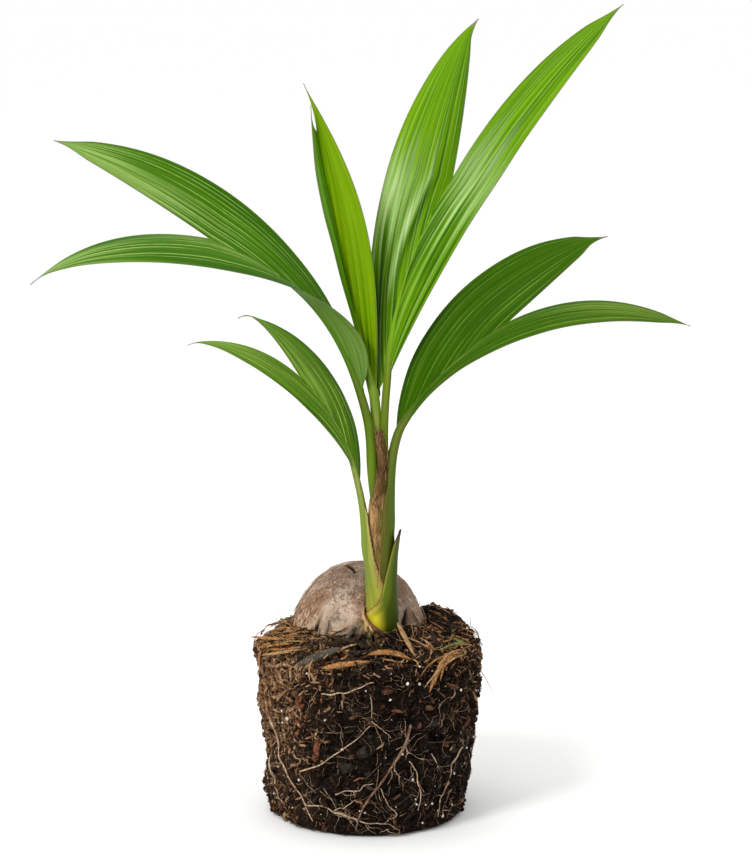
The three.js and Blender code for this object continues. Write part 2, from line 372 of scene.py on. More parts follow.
def mixed(share, a, b):
    node = nodeBy(share, "Mix")
    node.data_type = "RGBA"
    feed(node.inputs[0], share)
    feed(node.inputs[6], a)
    feed(node.inputs[7], b)
    return node.outputs[2]


# Tones laid over a colour one after another, each with its share.
def layered(colour, *layers):
    for share, tone in layers:
        colour = mixed(share, colour, tint(*tone))
    return colour


def noiseAt(vector, scale, detail=3.0, roughness=0.55):
    node = nodeBy(vector, "TexNoise")
    return feedAll(node, Vector=vector, Scale=scale, Detail=detail, Roughness=roughness)[0]


def stretched(vector, scale):
    return feedAll(nodeBy(vector, "Mapping"), Vector=vector, Scale=scale)[0]


def coordinate(tree, name):
    return tree.nodes.new("ShaderNodeTexCoord").outputs[name]


def axesOf(vector):
    return feedAll(nodeBy(vector, "SeparateXYZ"), Vector=vector)


def joined(x, y):
    return feedAll(nodeBy(x, "CombineXYZ"), X=x, Y=y)[0]


def attributeOf(tree, name):
    node = tree.nodes.new("ShaderNodeAttribute")
    node.attribute_name = name
    return node.outputs["Fac"]


# Colour and fine relief of a finish. The relief's depth is in millimetres.
def paint(shader, colour, height, strength, depth):
    relief = feedAll(nodeBy(shader, "Bump"), Strength=strength, Distance=depth * millimetre, Height=height)
    feed(shader.inputs["Normal"], relief["Normal"])
    feed(shader.inputs["Base Color"], colour)


def newGroup(name, **inputs):
    group = bpy.data.node_groups.new(name, "ShaderNodeTree")
    for socketName, value in inputs.items():
        kind = "NodeSocketVector" if isinstance(value, tuple) else "NodeSocketFloat"
        socket = group.interface.new_socket(socketName, in_out="INPUT", socket_type=kind)
        socket.default_value = value
    return group, group.nodes.new("NodeGroupInput").outputs


def putOut(group, **values):
    for socketName in values:
        group.interface.new_socket(socketName, in_out="OUTPUT", socket_type="NodeSocketFloat")
    feedAll(group.nodes.new("NodeGroupOutput"), **values)
    return group


def useGroup(tree, group, **values):
    node = tree.nodes.new("ShaderNodeGroup")
    node.node_tree = group
    return feedAll(node, **values)


def newMaterial(name, roughness, specular):
    material = bpy.data.materials.new(name)
    material.use_nodes = True
    shader = material.node_tree.nodes["Principled BSDF"]
    feed(shader.inputs["Roughness"], roughness)
    feed(shader.inputs["Specular IOR Level"], specular)
    return material, material.node_tree, shader


# Patches and grain on Object coordinates, for all finishes of the plant.
def makeMottle():
    group, given = newGroup("mottle", Scale=60.0, Stretch=(1.0, 1.0, 1.0))
    at = stretched(coordinate(group, "Object"), given["Stretch"])
    patch = noiseAt(at, given["Scale"], 3.0)
    grain = noiseAt(at, times(given["Scale"], 6.0), 5.0, 0.65)
    return putOut(group,
                  Patch=ranged(patch, 0.35, 0.65),
                  Grain=ranged(grain, 0.3, 0.7),
                  Height=plus(patch, times(grain, 0.6)))


# Streaks that run the length of a piece, on its own UV map: u along, v across.
def makeStreaks():
    group, given = newGroup("streaks", Lines=24.0, Run=3.0)
    axes = axesOf(coordinate(group, "UV"))
    at = joined(times(axes["X"], given["Run"]), times(axes["Y"], given["Lines"]))
    return putOut(group,
                  Streak=ranged(noiseAt(at, 1.0, 4.0, 0.6), 0.3, 0.7),
                  Broad=ranged(noiseAt(at, 0.22, 2.0), 0.35, 0.65),
                  Along=axes["X"],
                  Across=axes["Y"])


# Marks of a pleated blade, from the values that each lobe keeps on its corners.
def makeBladeMarks():
    group, given = newGroup("bladeMarks", RibWidth=0.09, MarginWidth=0.8)
    phase = attributeOf(group, "ribPhase")
    along = attributeOf(group, "alongBlade")
    edge = attributeOf(group, "fromEdge")
    wear = noiseAt(coordinate(group, "Object"), 90.0, 2.0)

    # One random value for each whole number of the phase, changing slowly along the blade.
    def perPleat(number, run):
        at = joined(times(along, run), times(number, 7.31))
        return ranged(noiseAt(at, 1.0, 1.0), 0.32, 0.68)

    toRib = calc("PINGPONG", phase, 0.5)
    strength = perPleat(calc("ROUND", phase), 2.2)
    rib = ranged(toRib, times(given["RibWidth"], 0.3), given["RibWidth"], 1.0, 0.0)
    rib = times(rib, ranged(strength, 0.1, 0.9, 0.1, 1.0))
    halfPleat = calc("FLOOR", times(phase, 2.0))
    veins = noiseAt(joined(times(along, 2.2), times(phase, 4.6)), 1.0, 3.0, 0.65)
    ragged = times(given["MarginWidth"], ranged(wear, 0.3, 0.7, 0.5, 1.5))
    tip = plus(along, times(calc("SUBTRACT", wear, 0.5), 0.02))
    return putOut(group,
                  Rib=times(rib, ranged(wear, 0.3, 0.6, 0.6, 1.0)),
                  # Painted shade along the valleys of the pleats
                  Groove=ranged(toRib, 0.38, 0.5),
                  Panel=perPleat(halfPleat, 1.4),
                  # The two faces of each pleat, 0 and 1, for painted light on one and painted shade on the
                  # other
                  Face=calc("MODULO", halfPleat, 2.0),
                  Vein=ranged(veins, 0.37, 0.63),
                  Margin=ranged(edge, times(ragged, 0.4), ragged, 1.0, 0.0),
                  Dry=ranged(tip, 0.972, 0.992),
                  Along=along,
                  Side=attributeOf(group, "acrossBlade"))


mottle = makeMottle()
streaks = makeStreaks()
bladeMarks = makeBladeMarks()


# Three tones of grain and patch, for what has no direction of its own. A second pair takes over to the left.
def earthy(name, dark, mid, light, scale=120.0, roughness=0.8, bump=0.6, leftPair=None):
    material, tree, shader = newMaterial(name, roughness, specular=0.06)
    marks = useGroup(tree, mottle, Scale=scale)
    colour = mixed(marks["Patch"], tint(*dark), tint(*mid))
    if leftPair:
        toLeft = ranged(axesOf(coordinate(tree, "Object"))["X"], -0.03, -0.1)
        colour = mixed(toLeft, colour, mixed(marks["Patch"], *(tint(*tone) for tone in leftPair)))
    colour = layered(colour, (ranged(marks["Grain"], 0.55, 1.0), light))
    paint(shader, colour, marks["Height"], bump, 1.0)
    return material


# Camera, floor and light

view = {"place": (0.00902, -3.0, 1.010), "pitch": 10.7414, "lens": 112.52, "sensor": 36}
stage = {
    "floorSize": 60.0,
    # The floor is painted darker near the plant, as painted shade, and white far off
    "floorNearShade": (243, 243, 241),
    "floorFar": (255, 255, 255),
    "floorReach": (0.3, 2.2),
    "world": (1.0, 1.0, 1.0, 1.0),
    "worldStrength": 1.0,
    "lamps": (
        # name, place, size, watts
        ("keyLamp", (-1.8, -2.0, 2.6), 0.8, 66.0),
        ("topLamp", (-0.3, 0.5, 2.9), 1.8, 12.0),
    ),
    "aim": (0.0, 0.0, 0.42),
}


def aimAt(thing, target):
    offset = np.array(target) - np.array(thing.location)
    flat = math.hypot(offset[0], offset[1])
    thing.rotation_euler = (math.atan2(flat, -offset[2]), 0, math.atan2(-offset[0], offset[1]))


def setStage():
    deselectAll()
    bpy.ops.object.camera_add(location=view["place"], rotation=(math.radians(90 - view["pitch"]), 0, 0))
    camera = bpy.context.object
    camera.data.lens = view["lens"]
    camera.data.sensor_width = view["sensor"]
    bpy.context.scene.camera = camera
    bpy.ops.mesh.primitive_plane_add(size=stage["floorSize"])
    floor = bpy.context.object
    floor.name = "floor"
    material, tree, shader = newMaterial("paleFloor", 0.75, specular=0.2)
    # Painted shade on the floor: darker near the plant, white far off where it meets the world
    away = nodeBy(shader, "VectorMath")
    away.operation = "LENGTH"
    feed(away.inputs[0], coordinate(tree, "Object"))
    far = ranged(away.outputs["Value"], *stage["floorReach"])
    colour = layered(tint(*stage["floorNearShade"]), (far, stage["floorFar"]))
    feed(shader.inputs["Base Color"], colour)
    addFinish(floor, [material])
    world = bpy.data.worlds.new("softRoom")
    world.use_nodes = True
    feedAll(world.node_tree.nodes["Background"], Color=stage["world"], Strength=stage["worldStrength"])
    bpy.context.scene.world = world
    bpy.context.scene.view_settings.view_transform = "Standard"
    for name, place, size, watts in stage["lamps"]:
        bpy.ops.object.light_add(type="AREA", location=place)
        lamp = bpy.context.object
        lamp.name = name
        lamp.data.size = size
        lamp.data.energy = watts
        aimAt(lamp, stage["aim"])
    print("stage set")


setStage()


# Root ball: the plug of soil

soil = {
    "rimRadius": 131,
    "sideRadius": 118,
    "footRadius": 102,
    "footRise": 22,
    "rimHeight": 196,
    "rimRound": 6,
    "dome": 24,
    "lump": 2.4,
    "clods": ((27, 2.4), (11, 2.4), (5, 1.8), (2.7, 0.8)),  # how far apart, and how far they stand out
    "sunk": 3.6,
    # bearing and half spread of a bulge of the rim, how far it stands out, and the heights it eases in over
    "rimOut": ((-88, 42, -5.0, 172, 194), (84, 40, 5.5, 145, 190)),
    "crevices": ((19, 0.10, 5.0), (10, 0.12, 3.4)),  # how far apart, how wide and how deep
    # x, y, spread and height of mounds on top
    "heaps": ((15, -52, 26, 8), (18, -62, 17, 3), (86, 74, 28, 14), (56, 96, 26, 8), (-84, 30, 26, 6),
              (66, -36, 24, 5), (-52, -66, 26, 4)),
    "topFrom": (188, 200),  # heights over which the side's relief gives way to the top's
    "plainFoot": 14,        # below this height the relief fades out
    "strewnFrom": 22,       # what is strewn on the side starts this far down the foot's curve
    "threadsFrom": 20,      # threads reach this far down that curve
    "threadsStop": 40,      # and end this far from the middle of the top
    "tightest": 30,         # the least radius that they turn with there
    # under, foot, side, rim and top
    "rings": (8, 12, 104, 6, 50),
    "around": 480,
    "seed": 11,
}


def sideRadiusAt(height):
    up = (height - soil["footRise"]) / (soil["rimHeight"] - soil["footRise"])
    return lerp(soil["sideRadius"], soil["rimRadius"], up)


# Gentle waves of the plug's side, as on the part.
def lumpAt(bearing, height):
    waves = (np.sin(3 * bearing + height * 0.03)
             + 0.8 * np.sin(7 * bearing - height * 0.07 + 1.3)
             + 0.6 * np.sin(12 * bearing + height * 0.11 + 4.1))
    return soil["lump"] * waves * ease(height, -20, 40)


# The plug's outline from the middle of its underside to the middle of its top.
def soilOutline():
    under, foot, side, rim, top = soil["rings"]
    shoulder = soil["rimHeight"] - soil["rimRound"]
    footEnd = (soil["sideRadius"], soil["footRise"])
    sideEnd = (sideRadiusAt(shoulder), shoulder)
    topStart = soil["rimRadius"] - soil["rimRound"]
    topEdge = soil["rimHeight"] + soil["dome"] * (1 - (topStart / soil["rimRadius"]) ** 2)
    reach = np.linspace(topStart, 0, top + 1)
    crown = soil["rimHeight"] + soil["dome"] * (1 - (reach / soil["rimRadius"]) ** 2)
    parts = [
        bezier([(0, 0), (soil["footRadius"], 0)], under + 1),
        bezier([(soil["footRadius"], 0), (soil["sideRadius"] - 1, 2), footEnd], foot + 1)[1:],
        bezier([footEnd, sideEnd], side + 1)[1:],
        bezier([sideEnd, (soil["rimRadius"], topEdge), (topStart, topEdge)], rim + 1)[1:],
        np.stack([reach, crown], axis=1)[1:],
    ]
    return np.concatenate(parts)


soilLine = soilOutline()
soilRun = runOf(soilLine)
sideStart = soilRun[soil["rings"][0] + soil["rings"][1]]
sideStop = soilRun[sum(soil["rings"][:3])]
topStop = soilRun[-1]


def heapAt(x, y):
    total = 0.0
    for middleX, middleY, spread, high in soil["heaps"]:
        total = total + high * np.exp(-((x - middleX) ** 2 + (y - middleY) ** 2) / spread ** 2)
    return total


# Reach from the middle and height at runs along the outline
def outlineAt(run):
    return np.stack([np.interp(run, soilRun, soilLine[:, i]) for i in (0, 1)])


# Points of the soil's surface, and the directions out of it, at bearings and runs along the outline.
def soilPoint(bearing, run):
    reach, height = outlineAt(run)
    slope = outlineAt(run + 1) - outlineAt(run - 1)
    slope = slope / np.maximum(np.linalg.norm(slope, axis=0), 1e-9)
    level = levelAt(bearing)
    up = np.array([0.0, 0.0, 1.0])
    outward = level * slope[1][:, None] - up * slope[0][:, None]
    radius = reach + lumpAt(bearing, height) * reach / soil["rimRadius"]
    at = level * radius[:, None] + up * height[:, None]
    rise = 0.0
    for i, (size, standOut) in enumerate(soil["clods"]):
        rise = rise + softNoise(at, size, soil["seed"] + i) * standOut
    for i, (size, wide, deep) in enumerate(soil["crevices"]):
        rise = rise - deep * bell(softNoise(at, size, soil["seed"] + 7 + i), 0, wide)
    sunk = soil["sunk"]
    for middle, spread, out, low, high in soil["rimOut"]:
        sunk = sunk - out * bell(np.degrees(bearing), middle, spread) * ease(height, low, high)
    onTop = ease(height, *soil["topFrom"])
    at = at + outward * ((rise - lerp(sunk, 0.0, onTop)) * ease(height, 0, soil["plainFoot"]))[:, None]
    at[:, :2] = at[:, :2] * (1 - onTop * sunk / soil["rimRadius"])[:, None]
    at[:, 2] = np.maximum(at[:, 2], 0) + heapAt(at[:, 0], at[:, 1]) * onTop
    return at, outward


def runAtHeight(height):
    shoulder = soil["rimHeight"] - soil["rimRound"]
    up = (height - soil["footRise"]) / (shoulder - soil["footRise"])
    return lerp(sideStart, sideStop, up)


def topHeight(x, y):
    away = np.minimum(np.hypot(x, y) / soil["rimRadius"], 1)
    return soil["rimHeight"] + soil["dome"] * (1 - away * away) + heapAt(x, y)


def makeSoilPlug():
    rings = len(soilLine) - 1
    piece = newGrid("soilPlug", soil["around"], rings)
    turn, up = gridShares(piece)
    places, outward = soilPoint((turn - 0.5) * 2 * math.pi, soilRun[np.round(up * rings).astype(int)])
    placeCorners(piece, places)
    weld(piece)
    return piece


soilDark = earthy("soilDark", (6, 3, 1), (18, 12, 8), (46, 35, 28), 70.0, 0.85, 0.9)
soilBrown = earthy("soilBrown", (24, 15, 9), (46, 32, 22), (78, 60, 46), 90.0, 0.92)
soilRed = earthy("soilRed", (48, 26, 15), (76, 45, 28), (108, 73, 51), 90.0, 0.92)
soilPlugDark = earthy("soilPlugDark", (6, 3, 1), (18, 12, 8), (46, 35, 28), 70.0, 0.85, 0.9,
                      leftPair=((20, 13, 8), (48, 35, 25)))

plug = makeSoilPlug()
addFinish(plug, [soilPlugDark])
seat(plug, "soil", "root_ball")
print("soil plug", len(plug.data.polygons), "faces")


# Crumbs and clods of soil on the plug

crumbs = {
    "small": (8200, 0.6, 1.9),   # how many, and their least and greatest half size
    "clods": (1500, 1.7, 4.2),
    "topShare": 0.36,
    "uneven": (0.6, 1.25),       # each of the three half sizes against the drawn one
    "dents": 0.28,
    "sunk": (-0.75, 0.2),        # how far their middles stand out, in half sizes
    "overFloor": 1.1,            # and how high they stay over the floor
    "tones": (0.74, 0.2, 0.06),  # shares of dark, brown and red
    "brownAt": (-72, 48, 0.7),   # bearing and spread of the browner side, and the share that turns
    "darkAt": (45, 35, 0.6),     # the same for the darker side
    "seed": 21,
}


def scatterOnSoil(rng, count, topShare):
    onTop = rng.random(count) < topShare
    run = np.where(onTop, lerp(sideStop, topStop, 1 - np.sqrt(rng.random(count)) * 0.999),
                   rng.uniform(sideStart - soil["strewnFrom"], sideStop, count))
    return anyTurn(rng, count), run


def makeCrumbs(name, shape, count, least, most):
    rng = np.random.default_rng(crumbs["seed"] + count)
    bearing, run = scatterOnSoil(rng, count, crumbs["topShare"])
    at, outward = soilPoint(bearing, run)
    half = lerp(least, most, rng.random(count) ** 2)
    sizes = half[:, None] * rng.uniform(*crumbs["uneven"], (count, 3))
    centres = at + outward * (half * rng.uniform(*crumbs["sunk"], count))[:, None]
    centres[:, 2] = np.maximum(centres[:, 2], half * crumbs["overFloor"])
    places, faces = scatterLumps(shape, centres, sizes, rng, crumbs["dents"])
    tone = rng.choice(3, count, p=crumbs["tones"])
    turned = rng.random(count)
    left, right = (share * bell(np.degrees(bearing), middle, spread)
                   for middle, spread, share in (crumbs["brownAt"], crumbs["darkAt"]))
    tone = np.where((tone == 0) & (turned < left), 1, np.where(turned < right, 0, tone))
    picks = np.repeat(tone, len(shape[1]))
    seatJoined(name, "soil", [soilDark, soilBrown, soilRed], places, faces.tolist(), picks)
    print(name, count)


makeCrumbs("soilCrumbs", lumpShape(1), *crumbs["small"])
makeCrumbs("soilClods", lumpShape(2), *crumbs["clods"])


# Perlite grains and chips of bark in the soil

perlite = {
    "count": 170,
    "half": (0.5, 2.0),
    "topShare": 0.2,
    "uneven": (0.7, 1.2),
    "dents": 0.2,
    "standOut": 0.55,  # how far their middles stand out, in half sizes
    "seed": 31,
}
chips = {
    # bearing, height, length, width, lean, tone
    "placed": (
        (-28, 100, 27, 9, 80, 1),
        (-1, 104, 22, 15, 20, 0),
        (-12, 84, 20, 14, 8, 0),
        (-37, 148, 12, 9, 40, 1),
        (10, 172, 14, 8, 10, 1),
        (-55, 110, 15, 9, 70, 0),
        (36, 130, 12, 8, 50, 0),
        (64, 118, 16, 8, 75, 1),
    ),
    "more": 130,
    "size": (5, 13),
    "slim": (0.3, 0.7),  # width against length
    "heights": (14, 184),
    "lowest": 6,
    "highest": 189,
    "outline": (0.35, 0.8, 0.95, 1.0, 0.9, 0.75, 0.3),
    "fullness": 0.6,     # half width at the widest against the width that is given
    "thickness": 1.6,
    "standOut": 0.9,
    "tipped": 0.12,
    "seed": 37,
}


def makePerlite():
    rng = seeded(perlite)
    count = perlite["count"]
    bearing, run = scatterOnSoil(rng, count, perlite["topShare"])
    at, outward = soilPoint(bearing, run)
    half = lerp(*perlite["half"], rng.random(count) ** 2)
    sizes = half[:, None] * rng.uniform(*perlite["uneven"], (count, 3))
    centres = at + outward * (half * perlite["standOut"])[:, None]
    places, faces = scatterLumps(lumpShape(2), centres, sizes, rng, perlite["dents"])
    white = earthy("perlite", (196, 186, 170), (226, 220, 208), (240, 236, 228), 200.0)
    seatJoined("perliteGrains", "soil", [white], places, faces.tolist(), np.zeros(len(faces)))


# A chip is a thin, split slab that follows the soil and lies half in it.
def makeChips():
    rng = seeded(chips)
    rows = [list(chip) for chip in chips["placed"]]
    for i in range(chips["more"]):
        size = rng.uniform(*chips["size"])
        rows.append([rng.uniform(-180, 180), rng.uniform(*chips["heights"]), size,
                     size * rng.uniform(*chips["slim"]), rng.uniform(0, 180), rng.choice(3)])
    bearing, height, length, width, lean, tone = np.array(rows).T[:, :, None]
    outline = np.array(chips["outline"])
    shape = (len(rows), len(outline), 3)
    share = np.linspace(-0.5, 0.5, len(outline))
    lean = np.radians(lean)
    bearings = np.radians(bearing) + length * share * np.cos(lean) / sideRadiusAt(height)
    heights = np.clip(height + length * share * np.sin(lean), chips["lowest"], chips["highest"])
    at, outward = soilPoint(bearings.ravel(), runAtHeight(heights.ravel()))
    paths = (at + outward * chips["standOut"]).reshape(shape)
    ups = unit(outward.reshape(shape) + rng.normal(0, chips["tipped"], (len(rows), 1, 3)))
    halves = width * chips["fullness"] * outline * rng.uniform(0.85, 1.15, shape[:2])
    grey = earthy("chipGrey", (24, 22, 19), (42, 38, 33), (66, 60, 51), 80.0, 0.92)
    orange = earthy("chipOrange", (66, 36, 24), (104, 62, 44), (136, 92, 70), 80.0, 0.92)
    brown = earthy("chipBrown", (58, 40, 29), (84, 60, 44), (112, 86, 64), 80.0, 0.92)
    seatStrands("barkChips", "soil", [grey, orange, brown], tone[:, 0], paths, halves, ups,
                chips["thickness"] / width[:, 0])


makePerlite()
makeChips()
print("perlite and bark chips")


# Coir, flakes of husk and fine fibres over the plug

coir = {
    "count": 3800,
    "points": 6,
    "length": (6, 27),
    "half": (0.14, 0.42),
    "wander": 0.42,           # how far the heading strays at each step, in radians
    "lift": (0.3, 2.8),       # how far the middle arches off the soil
    "clear": (17, -42, 24),   # x, y and reach of the spot round the stem that is left free
    # bearing and spread of the places where it gathers, the shares of the side's height that it eases in
    # over, and how thick it lies
    "banks": ((-76, 38, 0.25, 0.75, 1.2), (-66, 32, -1, 0, 0.45), (72, 34, 0.3, 0.8, 0.3),
              (160, 40, 0.2, 0.8, 0.5), (-160, 40, 0.2, 0.8, 0.5)),
    "rim": (0.93, 1.05),
    "rimThick": (0.3, 0.06),  # how thick it lies there on the left and on the right
    "rimThins": (20, 80),     # bearings between the two
    "anywhere": 0.03,
    "light": (0.12, 0.95),    # share of light fibres in bare spots, and how it grows where coir lies thick
    "topShare": 0.3,
    "tries": 7,               # spots drawn for each fibre
    "rest": 0.35,             # how far the ends lie off the soil
    "seed": 41,
}
flakes = {
    "count": 5000,
    "points": 5,
    "length": (4, 15),
    "half": (0.6, 2.3),
    "outline": (0.45, 0.9, 1.0, 0.85, 0.3),
    "wander": 0.2,
    "lift": 2.2,
    "rest": 0.6,
    "tipped": 0.45,
    "flat": 0.5,
    "seed": 43,
}
hairs = {
    "count": 700,
    "points": 9,
    "length": (9, 34),
    "half": (0.09, 0.2),
    "topShare": 0.2,
    "wander": 0.36,
    "lift": 2.4,
    "rest": 0.3,
    "seed": 47,
}


# Wandering lines over the plug's surface. Heading 0 runs level, 90 degrees runs up.
def wanderOnSoil(rng, bearing, run, heading, length, points, wander, lift):
    count = len(bearing)
    step = length / (points - 1)
    bearings, runs = [bearing], [run]
    for i in range(points - 1):
        reach = np.maximum(outlineAt(runs[-1])[0], soil["tightest"])
        bearings.append(bearings[-1] + np.cos(heading) * step / reach)
        runs.append(np.clip(runs[-1] + np.sin(heading) * step, sideStart - soil["threadsFrom"],
                            topStop - soil["threadsStop"]))
        heading = heading + rng.normal(0, wander, count)
    at, outward = soilPoint(np.stack(bearings, 1).ravel(), np.stack(runs, 1).ravel())
    shape = (count, points, 3)
    outward = outward.reshape(shape)
    return at.reshape(shape) + outward * lift[:, :, None], outward


# Coir gathers on the left, the right and the back of the plug and along its rim.
def coirDensity(bearing, run):
    degrees = np.degrees(bearing)
    up = np.clip((run - sideStart) / (sideStop - sideStart), 0, 1.4)
    rim = lerp(*coir["rimThick"], ease(degrees, *coir["rimThins"]))
    total = coir["anywhere"] + ease(up, *coir["rim"]) * rim
    for middle, spread, low, high, thick in coir["banks"]:
        total = total + thick * bell(degrees, middle, spread) * ease(up, low, high)
    return total


def coirSpots(rng, count):
    bearing, run = scatterOnSoil(rng, count * coir["tries"], coir["topShare"])
    kept = rng.random(len(bearing)) < coirDensity(bearing, run)
    return bearing[kept][:count], run[kept][:count]


def clearOfStem(paths):
    x, y, reach = coir["clear"]
    return np.hypot(paths[:, :, 0] - x, paths[:, :, 1] - y).min(axis=1) > reach


# Where it lies thick it is red and tan by halves, and elsewhere mostly dark.
def coirTones(rng, bearing, run):
    least, growth = coir["light"]
    light = rng.random(len(bearing)) < least + growth * coirDensity(bearing, run)
    return np.where(light, rng.choice(2, len(bearing), p=(0.5, 0.5)), 2)


def makeCoir():
    red = earthy("coirRed", (80, 50, 31), (116, 78, 52), (150, 110, 79))
    tan = earthy("coirTan", (120, 90, 62), (160, 126, 93), (192, 161, 126))
    dark = earthy("coirDark", (30, 20, 13), (50, 34, 24), (76, 55, 41), 120.0, 0.85)

    rng = seeded(coir)
    bearing, run = coirSpots(rng, coir["count"])
    count = len(bearing)
    length = lerp(*coir["length"], rng.random(count) ** 1.6)
    arch = np.sin(np.linspace(0, math.pi, coir["points"]))
    lift = rng.uniform(*coir["lift"], (count, 1)) * arch + coir["rest"]
    paths, ups = wanderOnSoil(rng, bearing, run, anyTurn(rng, count), length,
                              coir["points"], coir["wander"], lift)
    half = lerp(*coir["half"], rng.random((count, 1)) ** 2) * lerp(0.5, 1.0, arch)
    tones = coirTones(rng, bearing, run)
    free = clearOfStem(paths)
    seatStrands("coirFibres", "soil", [red, tan, dark], tones[free], paths[free], half[free], ups[free])

    # Short flat flakes, tipped every way
    rng = seeded(flakes)
    bearing, run = coirSpots(rng, flakes["count"])
    count = len(bearing)
    outline = np.array(flakes["outline"])
    length = lerp(*flakes["length"], rng.random(count) ** 1.5)
    share = evenShares(flakes["points"])
    lift = flakes["rest"] + rng.uniform(0, flakes["lift"], (count, 1)) * share
    paths, ups = wanderOnSoil(rng, bearing, run, anyTurn(rng, count), length,
                              flakes["points"], flakes["wander"], lift)
    half = lerp(*flakes["half"], rng.random((count, 1)) ** 1.8) * outline
    half = half * rng.uniform(0.8, 1.2, half.shape)
    ups = unit(ups + rng.normal(0, flakes["tipped"], (count, 1, 3)))
    tones = coirTones(rng, bearing, run)
    free = clearOfStem(paths)
    seatStrands("coirFlakes", "soil", [red, tan, dark], tones[free], paths[free], half[free], ups[free],
                flakes["flat"])

    # Hair-thin pale fibres everywhere
    rng = seeded(hairs)
    count = hairs["count"]
    bearing, run = scatterOnSoil(rng, count, hairs["topShare"])
    share = evenShares(hairs["points"])
    lift = hairs["rest"] + rng.uniform(0, hairs["lift"], (count, 1)) * np.sin(share * math.pi)
    paths, ups = wanderOnSoil(rng, bearing, run, anyTurn(rng, count),
                              rng.uniform(*hairs["length"], count), hairs["points"], hairs["wander"], lift)
    half = rng.uniform(*hairs["half"], (count, 1)) * lerp(1, 0.5, share)
    pale = earthy("hairPale", (150, 118, 86), (190, 158, 124), (216, 192, 162), 120.0, 0.75)
    tones = rng.choice(2, count, p=(0.55, 0.45))
    seatStrands("hairFibres", "soil", [pale, tan], tones, paths, half, ups, sides=3)
    print("coir", coir["count"], "flakes", flakes["count"], "hairs", count)


makeCoir()


# Roots over the plug's side

roots = {
    # half width and tone of each, then the bearings and heights that it passes
    "main": (
        (1.7, 1, (24, 131), (18, 106), (13, 83), (5, 59), (-3, 39), (-7, 9)),
        (0.9, 0, (-40, 72), (-32, 77), (-25, 86), (-12, 108), (-4, 119), (1, 132)),
        (1.0, 0, (59, 91), (56, 78), (51, 62), (49, 46), (45, 25), (43, 15)),
        (0.6, 0, (14, 81), (17, 73), (18, 61)),
        (0.6, 0, (7, 60), (9, 48), (12, 36), (17, 28), (12, 21)),
        (0.7, 0, (-17, 53), (-10, 59), (-5, 57), (-2, 64), (3, 65)),
        (0.6, 0, (-19, 32), (-14, 35), (-6, 47), (-3, 42)),
        (0.8, 0, (22, 90), (26, 82), (28, 73), (27, 64), (29, 55), (28, 31)),
        (0.8, 0, (-19, 29), (-7, 21), (3, 18), (10, 17), (17, 10)),
        (0.5, 0, (20, 103), (28, 91), (33, 87)),
        (0.5, 0, (37, 92), (41, 75)),
        (0.5, 0, (2, 138), (6, 130), (12, 120)),
        (0.6, 0, (46, 16), (51, 18), (59, 11)),
        (0.5, 0, (1, 170), (2, 162), (2, 143)),
        (1.2, 0, (-68, 125), (-61, 106), (-53, 67), (-44, 50), (-38, 35), (-33, 13)),
        (0.9, 0, (-38, 35), (-25, 33), (-15, 28), (-6, 19)),
        (0.9, 0, (-73, 75), (-68, 54), (-68, 34), (-55, 18)),
        (0.8, 0, (-25, 166), (-9, 173), (3, 185)),
        (1.3, 1, (112, 140), (104, 104), (92, 64), (84, 20)),
        (0.8, 0, (104, 104), (116, 72), (120, 30)),
        (1.2, 0, (150, 110), (158, 80), (172, 48), (176, 14)),
        (0.7, 0, (158, 80), (146, 50), (140, 18)),
        (1.4, 1, (-112, 132), (-122, 96), (-128, 60), (-140, 22)),
        (0.8, 0, (-122, 96), (-108, 66), (-104, 26)),
        (1.0, 0, (-168, 160), (-160, 120), (-166, 84), (-152, 40), (-156, 12)),
    ),
    "points": 40,
    "sway": (0.8, 23, 40),       # height of the waves, how close they are, and their shift by half width
    "rough": 0.08,
    "rest": 2.0,                 # how far main roots lie off the soil, and rootlets
    "fineRest": 1.0,
    "branches": 4,               # rootlets for each main root
    "branchPoints": 14,
    "branchLength": (10, 34),
    "branchHalf": (0.28, 0.55),  # against the main root's half width
    "branchTurn": (0.45, 1.2),
    "hairs": 150,                # finer ones anywhere
    "hairLength": (9, 42),
    "hairHalf": (0.15, 0.4),
    "hairHeights": (6, 186),
    "wander": 0.24,
    "brownShare": 0.3,
    "seed": 53,
}


# Rounds off the sharp turns that clods give to a root.
def smoothPaths(paths, rounds):
    for i in range(rounds):
        middle = (paths[:, :-2] + 2 * paths[:, 1:-1] + paths[:, 2:]) / 4
        paths = np.concatenate([paths[:, :1], middle, paths[:, -1:]], axis=1)
    return paths


